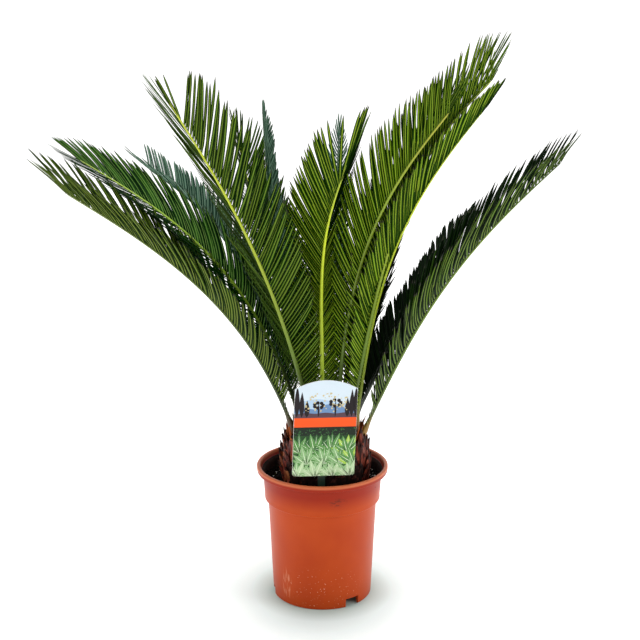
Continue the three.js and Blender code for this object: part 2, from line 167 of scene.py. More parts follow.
def waves(points, size, seed, count=24):
    """Soft random relief between about -1 and 1: the mean of many sine waves of one size, each with
    its own direction and start, scaled up by the root of their number."""
    source = np.random.default_rng(seed)
    ways = unit(source.normal(size=(count, 3))) * (2 * math.pi / size)
    ways *= source.uniform(0.7, 1.4, (count, 1))
    starts = source.uniform(0, 2 * math.pi, count)
    return np.sin(points @ ways.T + starts).mean(-1) * math.sqrt(count) * 0.7


print("helpers ready")

# %% [markdown]
# ## Finishes
# A finish is a Principled shader. Uniform values are set straight on its sockets, and a pattern
# is a noise texture that reads Object coordinates, so that it stays on the piece from any side.

# %% Finish helpers
def srgb(red, green, blue):
    """A colour given as 0 to 255 on a screen, as the linear values that Blender works with."""
    share = np.array([red, green, blue]) / 255
    linear = np.where(share <= 0.04045, share / 12.92, ((share + 0.055) / 1.055) ** 2.4)
    return (*linear.tolist(), 1.0)


def set_input(tree, socket, value):
    """Links an input to another node's output, or sets it to a plain value."""
    if isinstance(value, bpy.types.NodeSocket):
        tree.links.new(value, socket)
    else:
        socket.default_value = value


def add_node(tree, kind, settings=None, **inputs):
    """One shader node with its settings and inputs."""
    made = tree.nodes.new(kind)
    for key, value in (settings or {}).items():
        setattr(made, key, value)
    for key, value in inputs.items():
        set_input(tree, made.inputs[key.replace("_", " ")], value)
    return made


def object_place(tree):
    """Object coordinates, in metres."""
    return add_node(tree, "ShaderNodeTexCoord").outputs["Object"]


def new_finish(name, color, roughness, gloss=0.5, **sockets):
    """A material with a plain Principled shader, whose strength of mirror light is its gloss.
    Returns it with its node tree and shader."""
    material = bpy.data.materials.new(name)
    material.use_nodes = True
    tree = material.node_tree
    shader = tree.nodes["Principled BSDF"]
    shader.inputs["Base Color"].default_value = color
    shader.inputs["Roughness"].default_value = roughness
    shader.inputs["Specular IOR Level"].default_value = gloss
    for key, value in sockets.items():
        shader.inputs[key.replace("_", " ")].default_value = value
    material.diffuse_color = color
    return material, tree, shader


def noise_on(tree, size, detail=4.0, stretch=(1, 1, 1), distortion=0.0):
    """A noise texture on Object coordinates whose largest blobs are about size millimetres."""
    mapped = add_node(tree, "ShaderNodeMapping", Vector=object_place(tree), Scale=stretch)
    noise = add_node(
        tree, "ShaderNodeTexNoise", Vector=mapped.outputs["Vector"],
        Scale=1 / (size * MM), Detail=detail, Distortion=distortion,
    )
    return noise.outputs["Fac"]


def ramp_of(tree, factor, stops):
    """A colour ramp from (place, colour) stops."""
    ramp = add_node(tree, "ShaderNodeValToRGB", Fac=factor)
    band = ramp.color_ramp
    while len(band.elements) < len(stops):
        band.elements.new(1.0)
    for element, (place, color) in zip(band.elements, stops):
        element.position = place
        element.color = color
    return ramp.outputs["Color"]


def bump_of(tree, shader, height, strength, distance):
    """Small relief: the height moves the surface by up to distance millimetres."""
    bump = add_node(tree, "ShaderNodeBump", Height=height, Strength=strength, Distance=distance * MM)
    tree.links.new(bump.outputs["Normal"], shader.inputs["Normal"])


def mottled(name, stops, roughness, size, relief=0.0, relief_size=None, stretch=(1, 1, 1), **sockets):
    """A finish whose colour wanders between the stops, with a matching fine relief."""
    material, tree, shader = new_finish(name, stops[len(stops) // 2][1], roughness, **sockets)
    tree.links.new(ramp_of(tree, noise_on(tree, size, stretch=stretch), stops), shader.inputs["Base Color"])
    if relief:
        bump_of(tree, shader, noise_on(tree, relief_size or size, stretch=stretch), 0.6, relief)
    return material


print("finish helpers ready")

# %% [markdown]
# ## Pot
# A nursery pot is blown or pressed from thin plastic: a rolled lip, a collar under it, a small step
# so that pots nest, a wall that tapers to the foot, and notches in the foot ring that let water
# out. All of it is round, so the shape is one profile turned about the axis. The corners of the
# profile are rounded first, because a moulded edge always catches a line of light. The notches
# are then cut out with a boolean.

# %% Pot profile
RIM_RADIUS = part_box("pot")[1].x / MM
POT_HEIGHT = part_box("pot")[1].z / MM
COLLAR_TOP = 77.0
COLLAR_FOOT = 74.8
COLLAR_BOTTOM = 137.0
STEP_HEIGHT = 130.0
STEP_RADIUS = 70.3
FOOT_RADIUS = 64.0
WALL = 2.0
LIP_DEPTH = 8.0
MOUTH_RADIUS = 79.6
DISC_RADIUS = 30.0
RING_INSIDE = 61.0
HOLLOW_HEIGHT = 10.0
FLOOR_TOP = 13.0
AXIS_GAP = 0.5


def rounded(corners, radii, steps=5):
    """The profile with each corner replaced by a curve, which touches both sides at radius from the
    corner, or nearer on short sides. Its points weigh start, corner and end by (1 - t)^2,
    2 t (1 - t) and t^2."""
    corners = np.asarray(corners, float)
    points = [corners[:1]]
    for before, corner, after, radius in zip(corners, corners[1:], corners[2:], radii):
        back, ahead = before - corner, after - corner
        reach = min(radius, 0.45 * np.linalg.norm(back), 0.45 * np.linalg.norm(ahead))
        start = corner + reach * back / np.linalg.norm(back)
        end = corner + reach * ahead / np.linalg.norm(ahead)
        t = np.linspace(0, 1, steps)[:, None]
        points.append((1 - t) ** 2 * start + 2 * t * (1 - t) * corner + t ** 2 * end)
    points.append(corners[-1:])
    return np.concatenate(points)


def turned(profile, columns, centre=(0, 0)):
    """Profile points [radius, height] turned about the axis: rings [profile point, column]."""
    turn = np.linspace(0, 2 * math.pi, columns, endpoint=False)
    radius, height = profile[:, 0, None], profile[:, 1, None]
    return points_of(centre[0] + radius * np.cos(turn), centre[1] + radius * np.sin(turn), height)


def inner_radius(height):
    """Inner radius of the pot wall at a height over the floor, a wall's thickness inside it."""
    heights = [0, STEP_HEIGHT, COLLAR_BOTTOM, POT_HEIGHT - LIP_DEPTH]
    radii = [FOOT_RADIUS, STEP_RADIUS, COLLAR_FOOT, COLLAR_TOP]
    return np.interp(height, heights, radii) - WALL


lip_foot = POT_HEIGHT - LIP_DEPTH
pot_corners = [
    (AXIS_GAP, 0), (DISC_RADIUS, 0), (DISC_RADIUS + 2, HOLLOW_HEIGHT),
    (RING_INSIDE - 2, HOLLOW_HEIGHT), (RING_INSIDE, 0), (FOOT_RADIUS, 0),
    (STEP_RADIUS, STEP_HEIGHT), (COLLAR_FOOT, STEP_HEIGHT + 1.5), (COLLAR_FOOT, COLLAR_BOTTOM),
    (COLLAR_TOP, lip_foot), (RIM_RADIUS - 0.6, lip_foot), (RIM_RADIUS, POT_HEIGHT),
    (MOUTH_RADIUS + 0.6, POT_HEIGHT), (MOUTH_RADIUS - 1, lip_foot + 2),
    (inner_radius(lip_foot), lip_foot - 2), (inner_radius(COLLAR_BOTTOM), COLLAR_BOTTOM),
    (inner_radius(STEP_HEIGHT), STEP_HEIGHT - 1), (inner_radius(FLOOR_TOP), FLOOR_TOP),
    (AXIS_GAP, FLOOR_TOP),
]
# One radius for each corner, but for the two at the axis.
pot_radii = [1, 1, 2, 1, 2.5, 1.2, 1.2, 1.5, 1.5, 1.2, 2.4, 1.6, 1.5, 2, 3, 2, 2]
pot_profile = rounded(pot_corners, pot_radii)
print("pot profile points:", len(pot_profile))

# %% [markdown]
# ### Pot finish
# Pressed plastic in terracotta colour is satin: smooth enough for a soft band of light, with a
# faint grain. Handling leaves specks of dust near the foot, a pale scuff on one side and a smudge
# under the rim. Each mark is a noise pattern shown only inside a soft round patch, which is a
# spherical gradient stretched to size and moved to its place. From the collar up the colour is
# darker, painted shade under the lip, and the top of the lip is paler, a painted highlight. The
# inside is darkened by soil stain and painted shade.

# %% Pot finish
# Places of the colour sockets in a Mix node, which has others of the same names.
FACTOR, FIRST_COLOR, SECOND_COLOR, MIXED_COLOR = 0, 6, 7, 2


def patch(tree, centre, reach):
    """Soft oval patch on Object coordinates, from 1 at its centre to 0 at its reach, in mm."""
    place = object_place(tree)
    for operation, amounts in (("SUBTRACT", centre), ("DIVIDE", reach)):
        step = add_node(tree, "ShaderNodeVectorMath", {"operation": operation})
        tree.links.new(place, step.inputs[0])
        step.inputs[1].default_value = [amount * MM for amount in amounts]
        place = step.outputs[0]
    gradient = add_node(tree, "ShaderNodeTexGradient", {"gradient_type": "SPHERICAL"}, Vector=place)
    return gradient.outputs["Fac"]


def product(tree, first, second):
    """Product of two values."""
    times = add_node(tree, "ShaderNodeMath", {"operation": "MULTIPLY"})
    for socket, value in zip(times.inputs, (first, second)):
        set_input(tree, socket, value)
    return times.outputs[0]


def blended(tree, amount, under, over):
    """Two colours mixed by an amount; each is a socket or a plain colour."""
    mix = add_node(tree, "ShaderNodeMix", {"data_type": "RGBA"})
    for place, value in zip((FACTOR, FIRST_COLOR, SECOND_COLOR), (amount, under, over)):
        set_input(tree, mix.inputs[place], value)
    return mix.outputs[MIXED_COLOR]


def threshold(tree, value, low, high):
    """0 at low, 1 at high, even in between; high may be the smaller one."""
    step = add_node(tree, "ShaderNodeMapRange", Value=value)
    step.inputs["From Min"].default_value = low
    step.inputs["From Max"].default_value = high
    return step.outputs["Result"]


def height_in(tree):
    """Object height as a value, in metres."""
    return add_node(tree, "ShaderNodeSeparateXYZ", Vector=object_place(tree)).outputs["Z"]


POT_COLOR = srgb(180, 65, 11)
POT_SHADE = srgb(172, 58, 8)
# Painted shade: from the collar up the pot is coloured darker, as in the shadow under the lip.
COLLAR_SHADOW_COLOR = srgb(147, 33, 2)
# Painted highlight: the rounded top of the lip is paler, where it catches the light.
LIP_HIGHLIGHT = srgb(206, 116, 74)
DUST_COLOR = srgb(222, 170, 140)
SCUFF_COLOR = srgb(214, 142, 108)
SMUDGE_COLOR = srgb(92, 34, 16)
COLLAR_SHADOW_FADE = (0.138, 0.156)
LIP_HIGHLIGHT_FADE = (0.1715, 0.1735)
# Centre and reach of each marked area, in millimetres.
DUST_AREA = ((0, -60, 22), (62, 60, 46))
SCUFF_AREA = ((-47, -49, 28), (9, 12, 26))
SMUDGE_AREA = ((20, -74, 151), (14, 12, 7))

terracotta, tree, shader = new_finish("terracotta plastic", POT_COLOR, 0.4, gloss=0.17)
color = ramp_of(tree, noise_on(tree, 60, detail=3), [(0.35, POT_SHADE), (0.65, POT_COLOR)])
height = height_in(tree)
# Painted shade under the lip: darker from the collar up.
color = blended(tree, threshold(tree, height, *COLLAR_SHADOW_FADE), color, COLLAR_SHADOW_COLOR)
# Painted highlight along the top of the lip.
color = blended(tree, product(tree, threshold(tree, height, *LIP_HIGHLIGHT_FADE), 0.7), color, LIP_HIGHLIGHT)
specks = threshold(tree, noise_on(tree, 2.4, detail=3, distortion=0.3), 0.66, 0.72)
dusty_area = threshold(tree, patch(tree, *DUST_AREA), 0.05, 0.5)
color = blended(tree, product(tree, specks, dusty_area), color, DUST_COLOR)
scratches = threshold(tree, noise_on(tree, 4, detail=5, stretch=(2, 2, 0.3)), 0.5, 0.62)
scuff = product(tree, scratches, threshold(tree, patch(tree, *SCUFF_AREA), 0.0, 0.4))
color = blended(tree, product(tree, scuff, 0.55), color, SCUFF_COLOR)
smear = threshold(tree, noise_on(tree, 3, detail=4, stretch=(0.5, 0.5, 1.6)), 0.5, 0.6)
smudge = product(tree, smear, threshold(tree, patch(tree, *SMUDGE_AREA), 0.0, 0.5))
color = blended(tree, product(tree, smudge, 0.8), color, SMUDGE_COLOR)
tree.links.new(color, shader.inputs["Base Color"])
bump_of(tree, shader, noise_on(tree, 1.2, detail=2), 0.2, 0.04)

# Soil stain and painted shade: the inside of the pot, which lies in shade, is coloured near black.
stain_and_shade = mottled(
    "soil stain and painted shade inside", [(0.3, srgb(16, 7, 4)), (0.6, srgb(44, 18, 9))], 0.8, 9, gloss=0.15,
)
print("pot finishes ready")

# %% Pot mesh
POT_COLUMNS = 192
NOTCHES = 3
NOTCH_TURN = math.radians(-53)
NOTCH_WIDTH = 20.0
NOTCH_HEIGHT = 11.5
NOTCH_INNER, NOTCH_OUTER = 55.0, 75.0
UNDARKENED_POINTS = 8


def box_vertices(low, high):
    """The eight corners of a box, in the order that box_faces expects."""
    spots = np.array([(x, y, z) for z in (0, 1) for y in (0, 1) for x in (0, 1)])
    return np.asarray(low) + spots * (np.asarray(high) - np.asarray(low))


BOX_FACES = np.array([
    (0, 2, 3, 1), (4, 5, 7, 6), (0, 1, 5, 4), (2, 6, 7, 3), (0, 4, 6, 2), (1, 3, 7, 5),
])


def spun(points, turn):
    """Points turned about +Z."""
    c, s = math.cos(turn), math.sin(turn)
    return points @ np.array([(c, s, 0), (-s, c, 0), (0, 0, 1)])


def cut_away(piece, cutter):
    """Takes the cutter out of the piece with a boolean, applies it and deletes the cutter."""
    modifier = piece.modifiers.new("cut", "BOOLEAN")
    modifier.operation = "DIFFERENCE"
    modifier.solver = "EXACT"
    modifier.object = cutter
    bpy.context.view_layer.update()
    cut = bpy.data.meshes.new_from_object(piece.evaluated_get(bpy.context.evaluated_depsgraph_get()))
    piece.modifiers.clear()
    piece.data = cut
    bpy.data.objects.remove(cutter)


# The wall keeps the pot's colour over the top of the lip and a few points down, and from there on
# it is darkened by soil stain and painted shade.
darkened_from = np.argmax(pot_profile[:, 1]) + UNDARKENED_POINTS
inside = np.arange(len(pot_profile) - 1) > darkened_from
pot_tones = np.concatenate([np.repeat(inside, POT_COLUMNS), [0, 1]])
pot_rings = turned(pot_profile, POT_COLUMNS)
pot = make_tubes("pot_shell", pot_rings, [terracotta, stain_and_shade], pot_tones, sharp=50)
notch_box = box_vertices(
    (NOTCH_INNER, -NOTCH_WIDTH / 2, -5), (NOTCH_OUTER, NOTCH_WIDTH / 2, NOTCH_HEIGHT),
)
notch_turns = NOTCH_TURN + np.arange(NOTCHES) * 2 * math.pi / NOTCHES
notch_vertices = np.concatenate([spun(notch_box, turn) for turn in notch_turns])
notch_faces = np.concatenate([BOX_FACES + 8 * i for i in range(NOTCHES)])
cut_away(pot, make_piece("notches", notch_vertices, [notch_faces], []))
pot.data.polygons.foreach_set("use_smooth", np.ones(len(pot.data.polygons), bool))
pot.data.set_sharp_from_angle(angle=math.radians(35))
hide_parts("pot")
print("pot faces:", len(pot.data.polygons))

# %% [markdown]
# ## Soil
# Potting soil is dark peat with white grains of perlite. The surface is a disc whose height follows
# soft random waves, and loose crumbs and grains lie on it. Each grain is a ball of few faces
# pushed about at random, and all grains of a kind are one mesh.

# %% Soil
SOIL_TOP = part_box("soil")[1].z / MM
SOIL_BOTTOM = 140.0
TRUNK_X = 4.0


def soil_height(x, y):
    """Height of the soil: level, with lumps of two sizes, a little higher against the trunk."""
    spots = points_of(x, y, 0)
    heap = 2.5 * np.exp(-(((np.hypot(x - TRUNK_X, y) - 58) / 8) ** 2))
    return SOIL_TOP - 2 + heap + 1.4 * waves(spots, 22, 3) + 0.8 * waves(spots, 6, 4)


SOIL_COLUMNS = 144
soil_shares = np.linspace(0.01, 1, 46) ** 0.8
soil_radius = soil_shares * (inner_radius(SOIL_TOP) - 0.2)
top = turned(points_of(soil_radius, 0), SOIL_COLUMNS)
top[..., 2] = soil_height(top[..., 0], top[..., 1])
under = np.array([(inner_radius(SOIL_BOTTOM) - 0.3, SOIL_BOTTOM), (0.5, SOIL_BOTTOM)])

peat = mottled(
    "peat", [(0.35, srgb(4, 3, 2)), (0.55, srgb(12, 8, 6)), (0.78, srgb(34, 24, 17))],
    0.95, 5, relief=1.2, relief_size=1.6, gloss=0.1,
)
soil = make_tubes("soil_surface", np.concatenate([top, turned(under, SOIL_COLUMNS)]), [peat])
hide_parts("soil")
print("soil faces:", len(soil.data.polygons))

# %% Crumbs and perlite
STREWN_FROM, STREWN_TO = 57.0, 75.0


def ball():
    """A small round grain: five rings of six corners, closed at both ends."""
    angle = np.linspace(0.25, math.pi - 0.25, 5)
    return turned(points_of(np.sin(angle), -np.cos(angle)), 6)


def scatter(name, count, low, high, finish, seed, rest=0.3):
    """Grains strewn over the ring of soil: ball points stretched and dented at random, each with
    its centre over the soil by a share of its size, so that it is sunk in below."""
    source = np.random.default_rng(seed)
    grain = ball()
    size = source.uniform(low, high, count)
    around = source.uniform(0, 2 * math.pi, count)
    out = np.sqrt(source.uniform(STREWN_FROM ** 2, STREWN_TO ** 2, count))
    x, y = out * np.cos(around), out * np.sin(around)
    shape = grain[None] * source.uniform(0.6, 1.1, (count, 1, 1, 3))
    shape = shape + source.normal(scale=0.09, size=(count, *grain.shape))
    centre = points_of(x, y, soil_height(x, y) + size * rest)
    points = centre[:, None, None] + shape * size[:, None, None, None] * 0.5
    piece = make_tubes(name, points, [finish], sharp=60)
    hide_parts("soil")


crumb = mottled(
    "peat crumbs", [(0.35, srgb(8, 5, 4)), (0.7, srgb(34, 23, 16))], 0.95, 4, gloss=0.1,
)
perlite = mottled("perlite", [(0.3, srgb(205, 200, 188)), (0.7, srgb(246, 244, 238))], 0.9, 1.5)
scatter("soil_crumbs", 900, 1.2, 4.0, crumb, 21)
scatter("soil_perlite", 90, 1.0, 3.2, perlite, 22, rest=0.2)
print("crumbs and perlite made")

# %% [markdown]
# ## Trunk
# The trunk of a sago palm is a squat column wrapped in the bases of fallen fronds: thick, pointed
# scales in a spiral, each overlapping the next, dark brown with worn tan edges. A core with soft
# relief carries them. Every scale is the same small shell, a flattened tube that narrows to a point,
# laid on the core by its turn and height, so the whole coat is one array.

# %% Trunk core
TRUNK_FOOT = 57.0
TRUNK_BELLY = 59.0
BELLY_HEIGHT = 170.0
DOME_HEIGHT = 196.0
DOME_RADIUS = 55.0
DOME_RISE = 50.0
CARD_X = 1.0
CARD_FRONT = -65.5
CARD_THICKNESS = 0.8
CARD_TURN = math.radians(10)
CARD_CLEAR = 0.8
NEAR_CARD_HALF = 42.0
NEAR_CARD_HEIGHTS = (178.0, 312.0)
CORE_MIDDLE = 190.0


def trunk_radius(height):
    """Radius of the trunk at a height: nearly straight up to the belly, then a quarter of an
    ellipse over the dome."""
    heights = [SOIL_TOP, BELLY_HEIGHT, DOME_HEIGHT]
    side = np.interp(height, heights, [TRUNK_FOOT, TRUNK_BELLY, DOME_RADIUS])
    rise = np.clip((height - DOME_HEIGHT) / DOME_RISE, 0, 1)
    return side * np.sqrt(1 - rise ** 2)


def dome_at(radius):
    """Height of the crown's dome at a distance from the trunk's axis."""
    return DOME_HEIGHT + DOME_RISE * np.sqrt(1 - np.minimum(radius / DOME_RADIUS, 1) ** 2)


def behind_card(points):
    """Points that would reach through the label are pushed back behind it: near the card's
    outline, y may not be less than the card's back minus the distance to that outline."""
    x, y, z = np.moveaxis(points, -1, 0)
    low, high = NEAR_CARD_HEIGHTS
    beside = np.maximum(np.abs(x - CARD_X) - NEAR_CARD_HALF, 0)
    beside += np.maximum(z - high, 0) + np.maximum(low - z, 0)
    back = CARD_FRONT + CARD_THICKNESS + CARD_CLEAR + (x - CARD_X) * math.tan(CARD_TURN)
    return points_of(x, np.maximum(y, back - beside), z)


# The core follows the trunk's outline, and its relief pushes it in and out from its middle.
core_height = np.concatenate([
    np.linspace(SOIL_TOP - 8, DOME_HEIGHT, 24),
    DOME_HEIGHT + DOME_RISE * np.sin(np.linspace(0.06, 1.56, 22)),
])
core_profile = points_of(np.maximum(trunk_radius(core_height) - 4, 0.4), core_height)
core = turned(core_profile, 120, (TRUNK_X, 0))
outward = core - np.array([TRUNK_X, 0, CORE_MIDDLE])
core += unit(outward) * (1.0 * waves(core, 12, 5) + 0.6 * waves(core, 4, 6))[..., None]
wool = mottled(
    "crown wool", [(0.3, srgb(12, 4, 3)), (0.5, srgb(46, 18, 10)), (0.72, srgb(104, 50, 28))],
    0.95, 6, relief=1.0, relief_size=1.2, stretch=(1, 1, 0.3), gloss=0.1,
)
trunk_core = make_tubes("trunk_core", core, [wool])
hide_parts("trunk")
print("trunk core made")

# %% Trunk scales
SCALE_ROWS = 9
SCALES_PER_ROW = 24
ROW_PITCH = 6.4
SCALE_RINGS = 8
SCALE_CORNERS = 8
TIP_RINGS = 3
OLD, WORN, TIP, SHADED_SIDE, LABEL_SHADOW = range(5)
SHADED_SIDE_FROM_X = 24.0
LABEL_SHADOW_BEFORE_Y = -30.0
LABEL_SHADOW_BELOW = 182.0
FIBRES = dict(relief=1.2, relief_size=1.6, stretch=(1, 1, 0.22))


def shells(foot, along, across, length, width, thick, hook, blunt=2.2):
    """Many pointed shells at once. Along a shell, the half width follows 1 - s^blunt, so a high
    power gives a torn, square end, and the thickness falls evenly. The middle line leaves the foot
    along its direction and hooks by hook times s squared towards the shell's back."""
    s = np.linspace(0, 1, SCALE_RINGS)
    turn = np.linspace(0, 2 * math.pi, SCALE_CORNERS, endpoint=False)
    through = np.cross(along, across)
    wide = width[:, None] / 2 * (0.75 + 0.35 * np.sin(math.pi * s ** 0.8)) * (1 - s ** blunt) + 0.12
    deep = thick[:, None] / 2 * (1 - 0.85 * s) + 0.1
    centre = (
        foot[:, None] + along[:, None] * (length[:, None] * s)[..., None]
        + through[:, None] * (hook[:, None] * s ** 2)[..., None]
    )
    return swept(centre, across[:, None], through[:, None], wide, deep, np.cos(turn), np.sin(turn))


def leaning(turn, lean):
    """Directions out from the axis, along a scale that leans by an angle over level, and across."""
    out = points_of(np.cos(turn), np.sin(turn), 0)
    along = out * np.cos(lean)[:, None] + np.array([0, 0, 1]) * np.sin(lean)[:, None]
    return out, along, points_of(-np.sin(turn), np.cos(turn), 0)


# Rows of scales climb the trunk. Every other row is turned by half a scale, and each scale leans up
# and out with a little scatter.
source = np.random.default_rng(31)
count = SCALE_ROWS * SCALES_PER_ROW
row, spot = (a.ravel() for a in np.mgrid[0:SCALE_ROWS, 0:SCALES_PER_ROW])
turn = (spot + (row % 2) / 2) * 2 * math.pi / SCALES_PER_ROW + source.normal(scale=0.05, size=count)
height = SOIL_TOP - 4 + row * ROW_PITCH + source.normal(scale=0.8, size=count)
lean = np.radians(np.interp(row, [0, SCALE_ROWS - 1], [76, 84]) + source.normal(scale=4, size=count))
out, along, across = leaning(turn, lean)
foot = out * (trunk_radius(height) - 4)[:, None] + points_of(TRUNK_X, 0, height)
scales = behind_card(shells(
    foot, along, across, source.uniform(15, 27, count), source.uniform(9, 16, count),
    source.uniform(4.5, 8, count), source.uniform(-1.5, 2.5, count), blunt=4,
))
# The palest stop of the old and the shaded leaf-base colours is partly the bases' own pale fibres and
# partly a painted highlight, the shine of the glossy red-brown.
scale_old = mottled("old leaf base", [
    (0.32, srgb(16, 3, 2)), (0.46, srgb(74, 20, 10)), (0.58, srgb(130, 48, 30)), (0.72, srgb(186, 98, 72)),
], 0.55, 5, gloss=0.2, **FIBRES)
scale_worn = mottled("worn leaf base", [
    (0.34, srgb(40, 12, 6)), (0.5, srgb(120, 54, 28)), (0.66, srgb(168, 104, 62)),
], 0.6, 5, gloss=0.2, **FIBRES)
# Painted shade: a darker copy of the old leaf base for the trunk's right side.
scale_shaded_side = mottled("shaded side leaf base", [
    (0.32, srgb(8, 2, 1)), (0.46, srgb(44, 12, 6)), (0.58, srgb(94, 34, 20)), (0.72, srgb(150, 80, 58)),
], 0.6, 5, gloss=0.1, **FIBRES)
# Painted shadow: the low front scales lie in the label's shadow and are coloured near black.
scale_label_shadow = mottled(
    "label shadow on leaf base", [(0.3, srgb(6, 3, 2)), (0.7, srgb(34, 14, 9))], 0.8, 4, gloss=0.1,
)
scale_tip = mottled(
    "scale tip", [(0.3, srgb(14, 4, 3)), (0.7, srgb(66, 26, 16))], 0.7, 4, gloss=0.15,
)
scale_kind = np.where(source.random(count) < 0.25, WORN, OLD)
# Painted shade: scales on the right side of the trunk take the darker copy.
scale_kind[foot[:, 0] > SHADED_SIDE_FROM_X] = SHADED_SIDE
# Painted shadow of the label: low scales at the front take the near-black finish.
scale_kind[(foot[:, 1] < LABEL_SHADOW_BEFORE_Y) & (foot[:, 2] < LABEL_SHADOW_BELOW)] = LABEL_SHADOW
scale_tone = np.tile(scale_kind[:, None, None], (1, SCALE_RINGS - 1, SCALE_CORNERS))
scale_tone[:, SCALE_RINGS - TIP_RINGS:] = TIP
scale_tones = np.concatenate([scale_tone.ravel(), np.full(count, OLD), np.full(count, TIP)])
scale_finishes = [scale_old, scale_worn, scale_tip, scale_shaded_side, scale_label_shadow]
trunk_scales = make_tubes("trunk_scales", scales, scale_finishes, scale_tones, sharp=60)
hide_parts("trunk")
print("scales:", count)

# %% [markdown]
# ### Bud scales
# Between the stalks of the fronds stand narrow, pointed bud scales, the papery leaves that wrapped
# each new flush. They are orange-brown and felty, and the same shell makes them: slimmer, longer
# and nearly upright.

# %% Bud scales
BUDS = 64
BUD_REACH = 50.0
SPIRAL_TURN = math.radians(137.5)
source = np.random.default_rng(41)
bud_radius = BUD_REACH * np.sqrt(source.uniform(0.02, 1, BUDS))
bud_turn = np.arange(BUDS) * SPIRAL_TURN
bud_lean = np.radians(90 - 0.3 * bud_radius + source.normal(scale=4, size=BUDS))
bud_out, bud_along, bud_across = leaning(bud_turn, bud_lean)
bud_foot = bud_out * bud_radius[:, None] + points_of(TRUNK_X, 0, dome_at(bud_radius) - 8)
bud_length = np.interp(bud_radius, [20, BUD_REACH], [34, 20]) * source.uniform(0.8, 1.15, BUDS)
buds = behind_card(shells(
    bud_foot, bud_along, bud_across, bud_length, source.uniform(6, 10, BUDS),
    source.uniform(2.4, 3.6, BUDS), source.uniform(-3, 4, BUDS),
))
bud_felt = mottled(
    "bud scale felt", [(0.32, srgb(70, 24, 8)), (0.5, srgb(132, 62, 22)), (0.7, srgb(188, 112, 56))],
    0.85, 5, relief=0.5, relief_size=1.0, stretch=(1, 1, 0.22), gloss=0.15,
)
bud_scales = make_tubes("bud_scales", buds, [bud_felt], sharp=60)
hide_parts("trunk")
print("bud scales:", BUDS)

# %% [markdown]
# ## Fronds
# A frond is a long rib with two rows of stiff, narrow leaflets. The rib leaves the crown steeply and
# bends over in a smooth step. The leaflets are wide open at the foot, close up towards the tip, and
# both rows are lifted into a shallow V. One row of numbers says how each frond grows, and the same
# formulas make them all, as they make the CAD fronds, only with far more and finer leaflets.

# %% Frond table
# Every length is in millimetres and every turn in degrees. seat and radius: where the frond sits on
# the crown; turn: the heading it grows in; rise and fall: its rise over level at the foot, and how
# much of it is lost up to the tip; bend: the share of its length where it bends; sway: the change
# of its heading. vee: the lift of the leaflets over the blade, which rolls by roll at the foot and
# by twist up to the tip. The leaflets' angle is base at the first pair and open further out, and
# from closing on, over a run, it closes by the share press. stub and taper: the length of the first
# and the last leaflet over the longest, leaf, which is at the share peak. bow: how far a leaflet's
# middle hangs back; fine: the last leaflets' width over the full one; spacing: from pair to pair.
# dim: the side in shade; plain: the side whose edges have the colour of the under side; 0 is none.
USUAL = dict(sway=0, bend=0.5, vee=35, roll=0, twist=0, base=56, open=34, closing=0.88, run=0.12,
             press=0.75, stub=0.45, peak=0.45, taper=0.6, bow=0.05, fine=0.5, spacing=5.1, dim=0,
             plain=0, leaves="deep", stalk=None)
